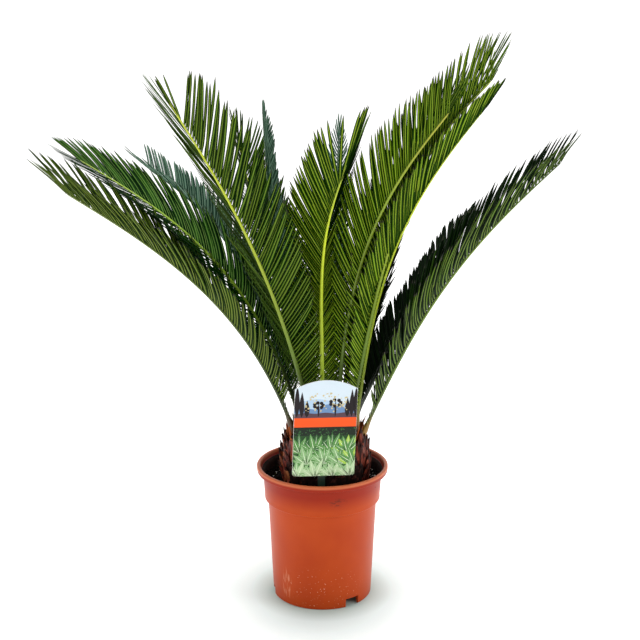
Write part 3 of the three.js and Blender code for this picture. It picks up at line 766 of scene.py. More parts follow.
FRONDS = [
    dict(seat=190, radius=42, turn=190, rise=68.5, fall=35, length=419, leaf=74, bend=0.42, vee=37,
         roll=-5, open=38, peak=0.5, bow=0.28, press=0.34, taper=0.9, fine=0.42, spacing=4.7,
         leaves="olive"),
    dict(seat=232, radius=27, turn=223, rise=72, fall=18, length=470, leaf=100, vee=24, roll=14,
         twist=-5, open=35, closing=0.91, run=0.03, press=0.93, stub=0.3, peak=0.7, taper=0.1, bow=0,
         plain=-1),
    dict(seat=170, radius=32, turn=176, rise=70.7, fall=40.3, bend=0.49, length=441, leaf=80, vee=16,
         roll=-28, twist=8, open=24.2, peak=0.53, taper=0.55, bow=0.35, press=0.5, dim=1,
         leaves="glossy"),
    # The back fronds with the 'blue' colours carry a painted reflection of the bright sky.
    dict(seat=150, radius=38, turn=153, rise=69.5, fall=41.8, bend=0.65, length=393, leaf=46, base=52,
         open=41, closing=1.2, taper=1.0, spacing=4.3, leaves="blue"),
    dict(seat=110, radius=20, turn=165, rise=71.5, fall=-15, length=386, leaf=31, leaves="blue"),
    dict(seat=130, radius=27, turn=150, rise=72, fall=10, length=365, leaf=80, sway=-30, roll=20),
    dict(seat=75, radius=26, turn=84, rise=82, fall=20, length=375, leaf=32, leaves="blue"),
    dict(seat=264, radius=36, turn=252.5, rise=88.4, fall=25, bend=0.6, length=359, leaf=86, sway=63,
         vee=30, roll=22, twist=-20, open=33, closing=0.885, run=0.03, press=0.92, stub=0.38, peak=0.9,
         taper=0.45, bow=0, fine=0.9, spacing=3.5, dim=-1, leaves="fresh"),
    dict(seat=300, radius=27, turn=315.4, rise=84, fall=37.3, length=446, leaf=85, bend=0.55, vee=52,
         roll=-11, twist=4, base=54, open=32, closing=1.0, peak=0.56, taper=0.5, bow=0, fine=0.45,
         spacing=4.7, leaves="fresh", stalk="amber"),
    dict(seat=326, radius=35, turn=330.5, rise=78, fall=33.2, bend=0.71, length=482, leaf=93, vee=44,
         roll=-11, twist=14, open=31, closing=1.0, stub=0.2, peak=0.86, taper=0.15, bow=0, fine=0.32,
         spacing=4.8, leaves="fresh", stalk="golden"),
    dict(seat=340, radius=40, turn=332.4, rise=82, fall=30.8, bend=0.57, length=447, leaf=74, vee=26,
         roll=20, twist=-18, open=26, peak=0.43, taper=0.55, press=0.3, fine=0.8, spacing=4.2,
         leaves="fresh"),
    dict(seat=352, radius=48, turn=354, rise=65.9, fall=21.5, bend=0.55, length=426, leaf=81, vee=29,
         open=41, peak=0.4, bow=0.5, press=0.2, taper=0.56, fine=0.38, dim=1, leaves="dusky"),
    dict(seat=22, radius=40, turn=34, rise=59.6, fall=10, bend=0.3, length=278, leaf=61, vee=25,
         roll=-17, twist=-13, open=44, stub=0.7, taper=0.9, fine=1.1, spacing=2.9, leaves="shade"),
    dict(seat=58, radius=36, turn=66, rise=66, fall=25, length=310, leaf=90, leaves="shade"),
    dict(seat=112, radius=42, turn=112, rise=64, fall=30, length=330, leaf=80, vee=38),
    # Painted shade: this frond takes the near-black 'dark' colours and stands for leaflets in shadow deep
    # in the crown.
    dict(seat=358, radius=36, turn=338, rise=81.5, fall=8, bend=0.47, length=278, leaf=58, vee=19,
         roll=-11, twist=-10.5, open=30, taper=0.45, spacing=4.4, leaves="dark"),
]
FRONDS = [{**USUAL, **row} for row in FRONDS]
print("fronds:", len(FRONDS))

# %% Rib formulas
RIB_STEPS = 90
RIB_SHARES = np.linspace(0, 1, RIB_STEPS + 1)
RIB_BASE = 6.4
RIB_TIP = 2.0
RIB_SWELL = 6.0
RIB_SUNK = 7.0
BARE_STALK = 0.09


def smooth_step(share):
    """Rises from 0 to 1 with no slope at either end: 3 s^2 - 2 s^3."""
    return share * share * (3 - 2 * share)


def rib_axes(frond, share):
    """Directions along, across and up from the rib at shares of its length. The rise over level
    drops, and the heading sways, with a smooth step that is half done at the bend; the blade
    rolls about the rib from its foot angle by the twist."""
    eased = smooth_step(share ** (math.log(0.5) / math.log(frond["bend"])))
    rise = np.radians(frond["rise"] - frond["fall"] * eased)
    turn = np.radians(frond["turn"] + frond["sway"] * eased)
    along = points_of(np.cos(rise) * np.cos(turn), np.cos(rise) * np.sin(turn), np.sin(rise))
    level = points_of(-np.sin(turn), np.cos(turn), 0)
    roll = np.radians(frond["roll"] + frond["twist"] * share)[:, None]
    across = level * np.cos(roll) + np.cross(along, level) * np.sin(roll)
    return along, across, np.cross(along, across)


def rib_line(frond):
    """Points of the rib: steps of equal length, each in the direction of its own middle, added up
    from the seat on the dome."""
    seat_turn = math.radians(frond["seat"])
    seat = np.array([
        TRUNK_X + frond["radius"] * math.cos(seat_turn),
        frond["radius"] * math.sin(seat_turn),
        dome_at(frond["radius"]),
    ])
    middle = rib_axes(frond, RIB_SHARES[:-1] + 0.5 / RIB_STEPS)[0]
    steps = np.cumsum(middle * frond["length"] / RIB_STEPS, axis=0)
    return np.concatenate([seat[None], seat + steps])


def on_rib(spot, values):
    """Points or directions along the rib, read off at shares of its length."""
    return points_of(*(np.interp(spot, RIB_SHARES, axis) for axis in values.T))


def rib_width(share):
    """Width of the rib: an even taper, with a swollen foot where it clasps the trunk."""
    return RIB_BASE + (RIB_TIP - RIB_BASE) * share + RIB_SWELL * np.exp(-((share / 0.035) ** 2))


RIB_CORNERS = 14
rib_turn = np.linspace(0, 2 * math.pi, RIB_CORNERS, endpoint=False)
rib_x = np.cos(rib_turn)
on_top = np.sin(rib_turn) > 0
rib_y = np.where(on_top, 0.55, 0.95) * np.sin(rib_turn) - 0.18 * np.exp(-((rib_x / 0.35) ** 2)) * on_top


def rib_rings(frond):
    """Rings of the rib: round below, flat with a shallow channel on top. The first ring is pushed
    back into the trunk and the last is drawn in to a blunt point."""
    points = rib_line(frond)
    along, across, lift = rib_axes(frond, RIB_SHARES)
    half = rib_width(RIB_SHARES) / 2
    half[-1] *= 0.3
    points[0] -= along[0] * RIB_SUNK
    return swept(points, across, lift, half, half, rib_x, rib_y)


print("rib formulas ready")

# %% Leaflet formulas
LEAFLET_STEPS = np.array([0, 0.05, 0.14, 0.28, 0.43, 0.58, 0.7, 0.8, 0.88, 0.95, 1])
LEAFLET_WIDTH = 4.7
SWEEP = 0.08
TILT = 20.0
ROOT_SINK = 1.4

# One ring of a leaflet, in half widths: the upper side is arched over to its rolled edges with a
# flat strip in the middle, the under side is hollow with a raised midrib.
BLADE_X = np.array([-1, -0.62, -0.16, 0.16, 0.62, 1, 0.6, 0.2, -0.2, -0.6])
BLADE_Y = np.array([-0.34, 0.02, 0.10, 0.10, 0.02, -0.34, -0.17, -0.24, -0.24, -0.17])
EDGE, TOP, STREAK, UNDER, MIDRIB = range(5)
# The edge strips carry painted shade and the middle strip a painted highlight.
BLADE_ROLE = np.array([EDGE, TOP, STREAK, TOP, EDGE, EDGE, UNDER, MIDRIB, UNDER, EDGE])


def leaflet_length(frond, place):
    """Length over the longest one: grows with the square of the distance to the peak below it, and
    shrinks with the cube of the distance above it."""
    peak = frond["peak"]
    low = 1 - (1 - frond["stub"]) * (1 - place / peak) ** 2
    high = 1 - (1 - frond["taper"]) * np.clip((place - peak) / (1 - peak), 0, 1) ** 3
    return frond["leaf"] * np.where(place < peak, low, high)


def leaflet_angle(frond, place):
    """Angle to the rib, in radians: wide at the foot, levelling off, closing up near the tip."""
    opened = frond["open"] + (frond["base"] - frond["open"]) * (1 - place) ** 2
    closed = smooth_step(np.clip((place - frond["closing"]) / frond["run"], 0, 1))
    return np.radians(opened * (1 - frond["press"] * closed))


def blade_width(s):
    """Width of a leaflet over its widest: quickly full from a narrow root, even through the
    middle, then drawn out to a sharp tip."""
    root = 0.5 + 0.5 * smooth_step(np.clip(s / 0.16, 0, 1))
    return root * (1 - 0.22 * s) * (1 - np.clip((s - 0.8) / 0.2, 0, 1) ** 2) + 0.04


def leaflets(frond, source):
    """All leaflets of a frond as rings [leaflet, ring, corner]. A leaflet starts at the side of the
    rib and heads out at its angle in the lifted half of the blade; its line is swept towards
    the frond's tip by the square of the distance out, and bowed back towards the foot in the
    middle by bow times s(1 - s), which leaves both its ends in place. Every angle, length and
    sweep has a little scatter."""
    pairs = round(frond["length"] * (1 - BARE_STALK) / frond["spacing"])
    place = np.repeat(np.linspace(0, 1, pairs), 2)
    side = np.tile([1.0, -1.0], pairs)[:, None]

    def scattered(scale):
        return source.normal(scale=scale, size=2 * pairs)

    place = np.clip(place + scattered(0.08 / pairs), 0, 1)
    spot = BARE_STALK + (1 - BARE_STALK) * place
    along, across, lift = (unit(on_rib(spot, axis)) for axis in rib_axes(frond, RIB_SHARES))
    angle = (leaflet_angle(frond, place) + np.radians(scattered(1.6)))[:, None]
    vee = np.radians(frond["vee"] + scattered(2.2))[:, None]
    outward = side * np.cos(vee) * across + np.sin(vee) * lift
    heading = np.cos(angle) * along + np.sin(angle) * outward
    flat = unit(side * np.cross(along, outward))
    foot = on_rib(spot, rib_line(frond)) + side * across * (rib_width(spot) / 2 - ROOT_SINK)[:, None]
    length = leaflet_length(frond, place) * (1 + scattered(0.025))
    width = LEAFLET_WIDTH / 2 * np.interp(place, [0, 0.25, 0.7, 1], [0.6, 1, 1, frond["fine"]])

    s = LEAFLET_STEPS
    sweep = SWEEP + scattered(0.012)
    run = length[:, None] * s
    arc = (sweep * length)[:, None] * s ** 2
    bow = frond["bow"] * smooth_step(np.clip(place / 0.4, 0, 1))
    bow = bow * (1 + scattered(0.1))
    arc = arc - (bow * length)[:, None] * s * (1 - s)
    line = foot[:, None] + heading[:, None] * run[..., None] + along[:, None] * arc[..., None]
    slope = 2 * sweep[:, None] * s - bow[:, None] * (1 - 2 * s)
    course = unit(heading[:, None] + along[:, None] * slope[..., None])
    tilt = side * np.radians(TILT + scattered(7))[:, None]
    normal = flat * np.cos(tilt) + np.cross(heading, flat) * np.sin(tilt)
    normal = unit(normal[:, None] - course * np.einsum("ijk,ik->ij", course, normal)[..., None])
    edge = np.cross(course, normal)
    half = width[:, None] * blade_width(s)
    return swept(line, edge, normal, half, half, BLADE_X, BLADE_Y)


print("leaflet formulas ready")

# %% [markdown]
# ### Frond finishes
# Young fronds are a fresh, shiny green, older ones darker. The fronds at the back are coloured
# bluish grey, a painted reflection of the bright sky, and the darkest kinds are painted shade for
# fronds deep in the crown. Each kind has its own small set of plain colours: three for the blade,
# dealt out leaflet by leaflet, one for the strip along its middle, which is a painted highlight, one
# for the paler under side, one for the midrib below, and one for the dry tip. The darkest of the
# blade colours also paints shade along the rolled edges. Plain colours keep their place in every
# program.

# %% Leaf finishes
LEAF_COLORS = {
    "fresh": [
        (14, 40, 1), (40, 76, 3), (72, 112, 7), (132, 162, 36),
        (66, 98, 14), (140, 160, 40), (58, 62, 34),
    ],
    "deep": [
        (7, 28, 1), (22, 52, 3), (42, 78, 6), (86, 120, 28),
        (60, 84, 18), (106, 128, 38), (46, 52, 32),
    ],
    "olive": [
        (12, 32, 1), (32, 56, 3), (58, 84, 10), (106, 128, 40),
        (50, 70, 14), (112, 128, 44), (50, 54, 40),
    ],
    "dusky": [
        (2, 16, 1), (20, 46, 3), (50, 82, 10), (110, 136, 46),
        (34, 56, 10), (100, 122, 40), (54, 56, 44),
    ],
    "glossy": [
        (5, 34, 4), (22, 64, 10), (50, 98, 24), (116, 154, 74),
        (38, 72, 16), (104, 134, 46), (50, 62, 42),
    ],
    # Painted reflection: the 'blue' kind, for the back fronds, is bluish grey as the bright sky reflects in
    # it.
    "blue": [
        (36, 64, 50), (62, 94, 74), (88, 122, 102), (124, 154, 132),
        (62, 90, 72), (108, 134, 110), (82, 98, 88),
    ],
    # Painted shade: the 'dark' kind colours leaflets as they look in shadow.
    "dark": [
        (2, 12, 1), (10, 28, 2), (24, 46, 6), (64, 86, 28),
        (16, 30, 6), (70, 88, 30), (30, 36, 22),
    ],
    "shade": [
        (1, 9, 1), (3, 16, 2), (8, 26, 4), (20, 40, 12),
        (6, 18, 4), (26, 40, 14), (14, 22, 12),
    ],
}
# The fourth colour, for the middle strip, is a painted highlight along the leaflet.
LEAF_PARTS = ["dark", "middle", "light", "highlight_streak", "under", "midrib", "tip"]
TONE = {part: place for place, part in enumerate(LEAF_PARTS)}
LEAF_ROUGHNESS = [0.4, 0.4, 0.4, 0.42, 0.5, 0.5, 0.55]
DULL, SATIN = 0.02, 0.07


def leaf_finish(kind, part, color, roughness):
    """A leathery leaf colour: satin, and nearly matt where the leaf is dark."""
    gloss = DULL if part == "dark" or kind in ("dark", "shade") else SATIN
    return new_finish(f"{kind} leaflet {part}", srgb(*color), roughness, gloss=gloss)[0]


leaf_finishes = {
    kind: [leaf_finish(kind, *facts) for facts in zip(LEAF_PARTS, colors, LEAF_ROUGHNESS)]
    for kind, colors in LEAF_COLORS.items()
}
print("leaf finishes:", sum(len(f) for f in leaf_finishes.values()))

# %% Rib finishes
RIB_COLORS = {
    "fresh": [(120, 74, 30), (104, 120, 8), (146, 170, 12), (198, 214, 28), (146, 166, 40)],
    "golden": [(96, 54, 24), (62, 80, 14), (98, 128, 12), (160, 178, 20), (156, 172, 34)],
    "amber": [(96, 54, 24), (58, 76, 10), (84, 110, 10), (126, 148, 14), (160, 158, 28)],
    "deep": [(96, 54, 24), (50, 64, 8), (90, 116, 8), (176, 190, 24), (182, 192, 42)],
    "olive": [(84, 48, 22), (44, 60, 12), (56, 76, 12), (96, 114, 38), (150, 162, 106)],
    "dusky": [(156, 112, 40), (70, 84, 18), (88, 114, 20), (106, 130, 32), (70, 90, 36)],
    "glossy": [(84, 48, 22), (44, 60, 14), (70, 98, 14), (150, 186, 30), (172, 194, 76)],
    # Painted reflection: the 'blue' ribs carry the same bluish sky tint.
    "blue": [(74, 44, 22), (60, 72, 28), (96, 122, 76), (110, 136, 98), (90, 114, 92)],
    # Painted shade: ribs of the 'dark' kind.
    "dark": [(60, 34, 16), (34, 40, 12), (40, 56, 12), (48, 66, 18), (40, 56, 20)],
    "shade": [(50, 26, 12), (24, 30, 8), (30, 44, 10), (30, 44, 14), (20, 32, 12)],
}
RIB_PLACES = [0.0, 0.07, 0.22, 0.7, 1.0]


def rib_finish(kind, colors):
    """A rib from its woolly brown foot over a tan stalk to yellow-green: the colours follow the
    piece's own attribute, the share of the rib's length."""
    material, tree, shader = new_finish(f"{kind} rib", srgb(*colors[2]), 0.42)
    share = add_node(tree, "ShaderNodeAttribute", {"attribute_name": "share"}).outputs["Fac"]
    color = ramp_of(tree, share, [(place, srgb(*c)) for place, c in zip(RIB_PLACES, colors)])
    tree.links.new(color, shader.inputs["Base Color"])
    bump_of(tree, shader, noise_on(tree, 2.5, detail=3), 0.3, 0.15)
    return material


rib_finishes = {kind: rib_finish(kind, colors) for kind, colors in RIB_COLORS.items()}
print("rib finishes:", len(rib_finishes))

# %% [markdown]
# ### Growing the fronds
# Every frond becomes two pieces, its rib and its leaflets, which together stand for the frond's
# CAD solid. Short spines, the stunted first leaflets, guard the stalk and are part of the rib.

# %% Grow the fronds
SPINES = 5
SPINE_WIDTH = 2.0
SPINE_SINK = 1.2
SPINES_FROM, SPINES_TO = 0.035, 0.082
SPINE_COLOR_AT = 0.16
TONE_SHARES = [0.25, 0.42, 0.33]
SHADED_SHARE = 0.85
UNDER_TONES = np.array([TONE["middle"], TONE["under"], TONE["light"]])


def spines(frond, source):
    """Pairs of thorns on the bare stalk, longer higher up: the shells of the bud scales, made as
    thin as thorns."""
    spot = np.repeat(np.linspace(SPINES_FROM, SPINES_TO, SPINES), 2)
    side = np.tile([1.0, -1.0], SPINES)[:, None]
    along, across, lift = rib_axes(frond, spot)
    foot = on_rib(spot, rib_line(frond)) + side * across * (rib_width(spot) / 2 - SPINE_SINK)[:, None]
    heading = unit(0.7 * along + 0.8 * side * across + 0.3 * lift)
    length = np.interp(spot, [0.03, BARE_STALK], [6, 17]) * source.uniform(0.85, 1.15, spot.size)
    wide = np.full(spot.size, SPINE_WIDTH)
    sideways = unit(np.cross(heading, lift))
    return shells(foot, heading, sideways, length, wide, wide * 0.8, 0 * wide)


leaflet_total = 0
for number, frond in enumerate(FRONDS, 1):
    node = f"frond_{number:02d}"
    source = np.random.default_rng(100 + number)
    rings = rib_rings(frond)
    thorns = spines(frond, source)
    rib_sides, *rib_caps = tube_faces(1, len(rings), RIB_CORNERS)
    thorn_faces = tube_faces(len(thorns), SCALE_RINGS, SCALE_CORNERS)
    thorn_sides, *thorn_caps = (faces + rings.size // 3 for faces in thorn_faces)
    rib_quads = np.concatenate([rib_sides.reshape(-1, 4), thorn_sides.reshape(-1, 4)])
    rib_vertices = np.concatenate([rings.reshape(-1, 3), thorns.reshape(-1, 3)])
    spine_shares = np.full(thorns.size // 3, SPINE_COLOR_AT)
    shares = np.concatenate([np.repeat(RIB_SHARES, RIB_CORNERS), spine_shares])
    rib = make_piece(
        f"{node}_rib", behind_card(rib_vertices), [rib_quads, *rib_caps, *thorn_caps],
        [rib_finishes[frond["stalk"] or frond["leaves"]]], sharp=60, attribute=("share", shares),
    )
    blades = behind_card(leaflets(frond, source))
    tone = source.choice(3, len(blades), p=TONE_SHARES)
    side = np.tile([1, -1], len(blades) // 2)
    dimmed = side == frond["dim"]
    tone = np.where(dimmed & (source.random(len(blades)) < SHADED_SHARE), TONE["dark"], tone)
    # Painted shade on the rolled edges, but on the plain side, and a painted highlight on the middle strip,
    # but on the dimmed side.
    strips = {
        EDGE: np.where(side == frond["plain"], TONE["under"], TONE["dark"]),
        TOP: tone,
        STREAK: np.where(dimmed, TONE["middle"], TONE["highlight_streak"]),
        UNDER: UNDER_TONES[tone],
        MIDRIB: np.full(len(blades), TONE["midrib"]),
    }
    parts = np.stack([strips[role] for role in BLADE_ROLE.tolist()], -1)[:, None]
    parts = parts.repeat(len(LEAFLET_STEPS) - 1, 1)
    parts[:, -1] = TONE["tip"]
    caps = np.repeat([TONE["under"], TONE["tip"]], len(blades))
    leaf_piece = make_tubes(
        f"{node}_leaflets", blades, leaf_finishes[frond["leaves"]],
        np.concatenate([parts.ravel(), caps]), sharp=50,
    )
    for piece in (rib, leaf_piece):
        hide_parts(node)
    leaflet_total += len(blades)
print("leaflets:", leaflet_total)

# %% [markdown]
# ## Plant label
# The label is a stiff card with an arched top on a dark plastic stake, turned a little to one side.
# Its print is a plain generic design: a garden skyline over an orange band, and a bed of leaves.
# Each printed shape is a very thin plate a hair in front of the one below, so that its edges stay
# crisp at any distance, where a texture would blur.

# %% Label card
CARD_WIDTH = 78.5
SHOULDER = 113.0
ARCH = 11.0
CORNER = 4.0
CARD_FOOT = 184.0
CARD_TILT = math.radians(2.1)
PRINT_STEP = 0.025


def turned_with_card(points):
    """Points turned about the upright line through the middle of the card's front."""
    middle = np.array([CARD_X, CARD_FRONT, 0])
    return spun(points - middle, CARD_TURN) + middle


def on_card(flat, depth):
    """Points [x, height] on the card, depth millimetres in front of it, tilted with the card."""
    flat = np.asarray(flat, float)
    c, s = math.cos(CARD_TILT), math.sin(CARD_TILT)
    x = CARD_X + flat[..., 0] * c + flat[..., 1] * s
    z = CARD_FOOT - flat[..., 0] * s + flat[..., 1] * c
    return turned_with_card(points_of(x, CARD_FRONT - depth, z))


def plate(outline, back, front):
    """Vertices of a flat plate: its outline at the back and at the front depth."""
    return np.stack([on_card(outline, back), on_card(outline, front)])


def arch_height(x):
    """Top edge of the card: a parabola over the shoulders."""
    return SHOULDER + ARCH * (1 - (2 * x / CARD_WIDTH) ** 2)


def foot_height(x):
    """Lower edge of the card: level, and a quarter circle up at each corner."""
    reach = np.clip(np.abs(x) - (half_card - CORNER), 0, CORNER)
    return CORNER - np.sqrt(CORNER ** 2 - reach ** 2)


def between(low_of, high_of, points=33):
    """The area between two curves over the width of the card, as one outline. The points crowd
    towards both sides."""
    x = half_card * np.sin(np.linspace(-math.pi / 2, math.pi / 2, points))
    return np.concatenate([points_of(x, low_of(x)), points_of(x, high_of(x))[::-1]])


half_card = CARD_WIDTH / 2
card_outline = between(foot_height, arch_height)
card_white, _, _ = new_finish("card white", srgb(236, 236, 230), 0.35)
card_plate = plate(card_outline, -CARD_THICKNESS, 0)
card = make_tubes("label_card_stock", card_plate, [card_white], sharp=30)
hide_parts("label_card")
print("card made")

# %% Label print shapes
PRINT_COLORS = {
    "sky": (208, 222, 232), "haze": (176, 202, 226), "hill": (104, 138, 180), "blossom": (206, 190, 140),
    "wood": (26, 16, 20), "path": (84, 60, 70), "orange": (236, 84, 20), "hedge": (16, 32, 16),
    "ground": (30, 66, 28), "deep leaf": (50, 98, 48), "leaf": (88, 140, 72), "sage leaf": (134, 176, 118),
    "pale leaf": (180, 208, 160), "lime leaf": (160, 196, 76), "vein": (214, 230, 196),
}
BAND_LOW, BAND_HIGH = 64.0, 76.0
STRIP_LOW = 53.0
PRINT_INSET = 0.2


def level(height):
    """A straight edge at a height, for between()."""
    return lambda x: height


def leaf_shape(x, y, long, wide, turn):
    """A pointed oval: its width follows the sine of the share of its length, and it is turned about
    its foot."""
    s = np.linspace(0, 1, 8)
    right = points_of(wide / 2 * np.sin(math.pi * s ** 0.8), long * s)
    shape = np.concatenate([right, (right * (-1, 1))[-2:0:-1]])
    c, d = math.cos(turn), math.sin(turn)
    across, up = shape[:, 0], shape[:, 1]
    return points_of(x + across * c - up * d, y + across * d + up * c)


def dot(x, y, radius):
    """A small round shape of ten corners."""
    turn = np.linspace(0, 2 * math.pi, 10, endpoint=False)
    return points_of(x + radius * np.cos(turn), y + radius * np.sin(turn))


def trimmed(outline):
    """An outline cut off at the edges of the card."""
    edge = half_card - PRINT_INSET
    x = np.clip(outline[:, 0], -edge, edge)
    y = np.clip(outline[:, 1], foot_height(x) + PRINT_INSET, arch_height(x) - PRINT_INSET)
    return points_of(x, y)


print("print colours:", len(PRINT_COLORS))

# %% Label print
source = np.random.default_rng(61)
TREE_FOOT = 76.5
TREES = [(-36, 42), (-30, 33), (-23.5, 22), (27, 25), (32.5, 36), (37.5, 41)]
ROUND_TREES = [(-9, 14, 5.5), (12, 17, 6.5)]
BLOSSOMS = 70
HEDGE_DOTS = 60

# Each shape has its layer, the name of its colour and its outline in millimetres on the card.
prints = [
    (0, "sky", between(level(BAND_HIGH), arch_height)),
    (1, "haze", between(level(BAND_HIGH), lambda x: 97 + 3 * np.cos(x / 12 + 1))),
    (2, "hill", between(level(BAND_HIGH), lambda x: 90 + 3.5 * np.cos(x / 8 - 1) + np.cos(x / 3))),
    (3, "path", between(level(BAND_HIGH), lambda x: 82 + 0.6 * np.cos(x / 4))),
    (1, "orange", between(level(BAND_LOW), level(BAND_HIGH))),
    (1, "hedge", between(level(STRIP_LOW), level(BAND_LOW))),
    (0, "ground", between(foot_height, level(STRIP_LOW))),
]
for x, high in TREES:
    prints.append((4, "wood", leaf_shape(x, TREE_FOOT, high, 6.5, 0)))
for x, high, crown in ROUND_TREES:
    prints.append((4, "wood", leaf_shape(x, TREE_FOOT, high + 6, 2.2, 0)))
    for turn in np.arange(7) * 2 * math.pi / 7:
        tuft_x, tuft_y = x + crown * math.cos(turn), 78 + high + 0.6 * crown * math.sin(turn)
        prints.append((5, "wood", dot(tuft_x, tuft_y, 2.3)))
blossom_x = source.uniform(-26, 26, BLOSSOMS)
blossom_y = source.uniform(84, 108, BLOSSOMS)
for x, y, size in zip(blossom_x, blossom_y, source.uniform(0.5, 1.3, BLOSSOMS)):
    prints.append((6, "blossom", dot(x, y, size)))
for x, size in zip(source.uniform(-38, 38, HEDGE_DOTS), source.uniform(0.7, 1.8, HEDGE_DOTS)):
    prints.append((2, "deep leaf", dot(x, source.uniform(54, 62), 0.5 * size)))

FAN_LEANS = np.linspace(-1.25, 1.25, 9)
FAN_ROWS = [(30, (-31, -12, 9, 29)), (15, (-22, 0, 21, 38)), (-3, (-33, -11, 12, 33))]
FAN_COLORS = [("deep leaf", "leaf"), ("leaf", "sage leaf"), ("sage leaf", "pale leaf")]
LIME_FANS = (3, 7)
LIME_COLORS = ("lime leaf", "leaf")
fans = [(x, y, row) for row, (y, places) in enumerate(FAN_ROWS) for x in places]
for count, (x, y, row) in enumerate(fans):
    colors = LIME_COLORS if count in LIME_FANS else FAN_COLORS[row]
    for blade, lean in enumerate(FAN_LEANS):
        turn = lean + source.normal(scale=0.06)
        long = source.uniform(21, 29) * (0.8 + 0.2 * math.cos(lean))
        layer = 2 + count * 3 + blade % 2
        prints.append((layer, colors[blade % 2], leaf_shape(x, y, long, 7.2, turn)))
        prints.append((layer + 1, "vein", leaf_shape(x, y, long * 0.9, 0.8, turn)))
print("printed shapes:", len(prints))

# %% Print the label
print_finishes = [
    new_finish(f"print {name}", srgb(*color), 0.4, gloss=0.25)[0]
    for name, color in PRINT_COLORS.items()
]
PRINT_INDEX = {name: i for i, name in enumerate(PRINT_COLORS)}
plates, plate_groups, plate_tones, offset = [], {}, {}, 0
for layer, name, outline in prints:
    outline = trimmed(outline)
    sides, start, end = tube_faces(1, 2, len(outline))
    for faces in (sides.reshape(-1, 4), start, end):
        plate_groups.setdefault(faces.shape[-1], []).append(faces + offset)
        plate_tones.setdefault(faces.shape[-1], []).append(np.full(len(faces), PRINT_INDEX[name]))
    plates.append(plate(outline, 0, PRINT_STEP * (1 + layer)).reshape(-1, 3))
    offset += 2 * len(outline)
label_print = make_piece(
    "label_print", np.concatenate(plates), [np.concatenate(g) for g in plate_groups.values()],
    print_finishes, np.concatenate([np.concatenate(t) for t in plate_tones.values()]), sharp=20,
)
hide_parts("label_card")
print("print faces:", len(label_print.data.polygons))

# %% Label stake
STAKE_X = -1.0
STAKE_TOP = CARD_FOOT + 70
STAKE_FOOT = SOIL_TOP - 45
STAKE_BACK = CARD_FRONT + 3.1
STAKE_HALF = 4.5
stake_share = np.linspace(0, 1, 30)
stake_height = STAKE_TOP + (STAKE_FOOT - STAKE_TOP) * stake_share
stake_half = STAKE_HALF * np.where(stake_share < 0.9, 1, 1 - 0.67 * (stake_share - 0.9) / 0.1)
# A flat bar with a stiffening rib along its back.
stake_outline = np.array([
    (-1, -0.9), (1, -0.9), (1, 0.1), (0.28, 0.3), (0.2, 1.0), (-0.2, 1.0), (-0.28, 0.3), (-1, 0.1),
])
stake_rings = points_of(
    STAKE_X + stake_half[:, None] * stake_outline[:, 0], STAKE_BACK - 1 + stake_outline[:, 1],
    stake_height[:, None],
)
stake_plastic = mottled("stake plastic", [(0.3, srgb(8, 30, 20)), (0.7, srgb(16, 46, 32))], 0.45, 20)
stake = make_tubes("label_stake_bar", turned_with_card(stake_rings), [stake_plastic], sharp=30)
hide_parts("label_stake")
print("label made")

# %% [markdown]
# ## Floor and light
# A plain pale sweep of paper, flat under the pot and curved up far behind it, gives the product
# a clean white surrounding. Near the pot it is coloured a greenish grey as painted shade, which
# also offsets the pot's reddish bounce light, with a darker painted shadow right round the foot,
# and it glows faintly away from the pot, so that the shadow fades into white. Two wide soft lights
# stand left and right, a third hangs over the plant, and an even white sky fills the shadows.

# %% Sweep
PAPER_COLOR = srgb(241, 241, 240)
# Painted shade: near the pot the paper is coloured greenish grey, which offsets the pot's reddish bounce
# light.
PAPER_SHADE_TINT = srgb(212, 236, 234)
# Painted shadow: the paper right round the foot is coloured darker.
PAPER_CONTACT_SHADOW = srgb(182, 201, 194)
FLOOR_NEAR = -40000.0
FLOOR_FAR = 3000.0
FLOOR_HALF = 40000.0
SWEEP_RADIUS = 1500.0
SWEEP_TOP = 6000.0
SHADE_TINT_AREA = ((0, 0, 0), (230, 230, 230))
CONTACT_SHADOW_AREA = ((0, 0, 0), (100, 100, 100))
GLOW_AREA = ((0, -8, 0), (1050, 1500, 1500))
GLOW_FADE = (0.955, 0.84)
GLOW = 0.5
sweep_turn = np.linspace(0, math.pi / 2, 16)
sweep_y = FLOOR_FAR + SWEEP_RADIUS * np.sin(sweep_turn)
sweep_y = np.concatenate([[FLOOR_NEAR], sweep_y, sweep_y[-1:]])
sweep_z = np.concatenate([[0], SWEEP_RADIUS * (1 - np.cos(sweep_turn)), [SWEEP_TOP]])
sweep_x = np.array([-FLOOR_HALF, FLOOR_HALF])
sweep_grid = points_of(sweep_x, sweep_y[:, None], sweep_z[:, None])
paper, tree, shader = new_finish(
    "studio paper", PAPER_COLOR, 0.9, gloss=0.1, Emission_Color=(1, 1, 1, 1),
)
# Painted shade round the pot, fading out by about 230 mm.
shade_tinted = threshold(tree, patch(tree, *SHADE_TINT_AREA), 0.0, 0.9)
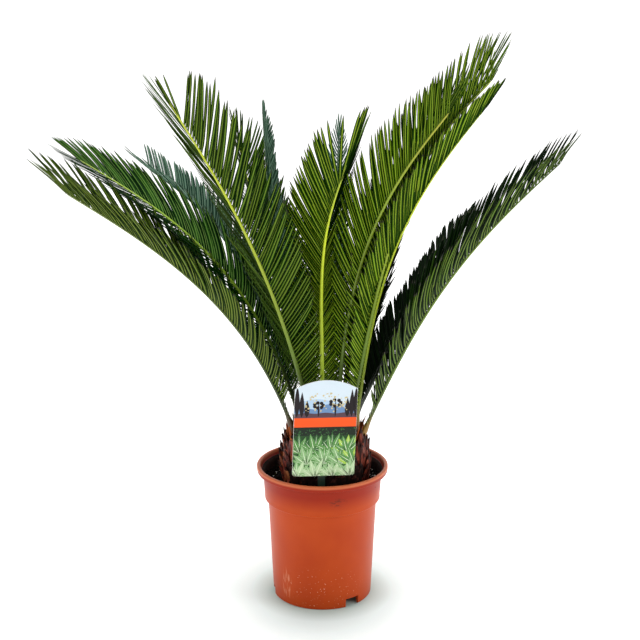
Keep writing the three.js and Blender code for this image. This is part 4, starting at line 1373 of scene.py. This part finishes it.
# Painted shadow of the foot, within about 100 mm of the axis.
contact_shadow = threshold(tree, patch(tree, *CONTACT_SHADOW_AREA), 0.04, 0.4)
color = blended(tree, shade_tinted, PAPER_COLOR, PAPER_SHADE_TINT)
tree.links.new(blended(tree, contact_shadow, color, PAPER_CONTACT_SHADOW), shader.inputs["Base Color"])
glow = product(tree, threshold(tree, patch(tree, *GLOW_AREA), *GLOW_FADE), GLOW)
tree.links.new(glow, shader.inputs["Emission Strength"])
sweep_mesh = bpy.data.meshes.new("sweep")
spot = np.arange(len(sweep_y) - 1) * 2
sweep_faces = np.stack([spot, spot + 1, spot + 3, spot + 2], -1)
sweep_mesh.from_pydata((sweep_grid.reshape(-1, 3) * MM).tolist(), [], sweep_faces.tolist())
sweep_mesh.polygons.foreach_set("use_smooth", np.ones(len(sweep_faces), bool))
sweep_mesh.materials.append(paper)
sweep = bpy.data.objects.new("studio_sweep", sweep_mesh)
bpy.context.scene.collection.objects.link(sweep)
print("sweep faces:", len(sweep_faces))

# %% Lights
def soft_light(name, place, target, size, power):
    """A square area light at a place, in metres, turned towards a target."""
    lamp = bpy.data.lights.new(name, "AREA")
    lamp.shape = "RECTANGLE"
    lamp.size, lamp.size_y = size
    lamp.energy = power
    light = bpy.data.objects.new(name, lamp)
    light.location = place
    way = np.array(target, float) - np.array(place, float)
    flat = math.hypot(way[0], way[1])
    light.rotation_euler = (math.atan2(flat, -way[2]), 0, math.atan2(way[1], way[0]) - math.pi / 2)
    bpy.context.scene.collection.objects.link(light)


soft_light("left softbox", (-1.9, -0.9, 1.0), (0, 0, 0.35), (1.0, 1.8), 16)
soft_light("right softbox", (1.9, -0.8, 1.0), (0, 0, 0.35), (1.0, 1.8), 19)
soft_light("top softbox", (0.1, 0.45, 2.6), (0, 0, 0.3), (2.6, 2.0), 44)

SKY_STRENGTH = 0.48
world = bpy.data.worlds.new("white room")
world.use_nodes = True
sky = world.node_tree.nodes["Background"]
sky.inputs["Color"].default_value = (1, 1, 1, 1)
sky.inputs["Strength"].default_value = SKY_STRENGTH
bpy.context.scene.world = world
bpy.context.scene.view_settings.view_transform = "Standard"
print("lights set")
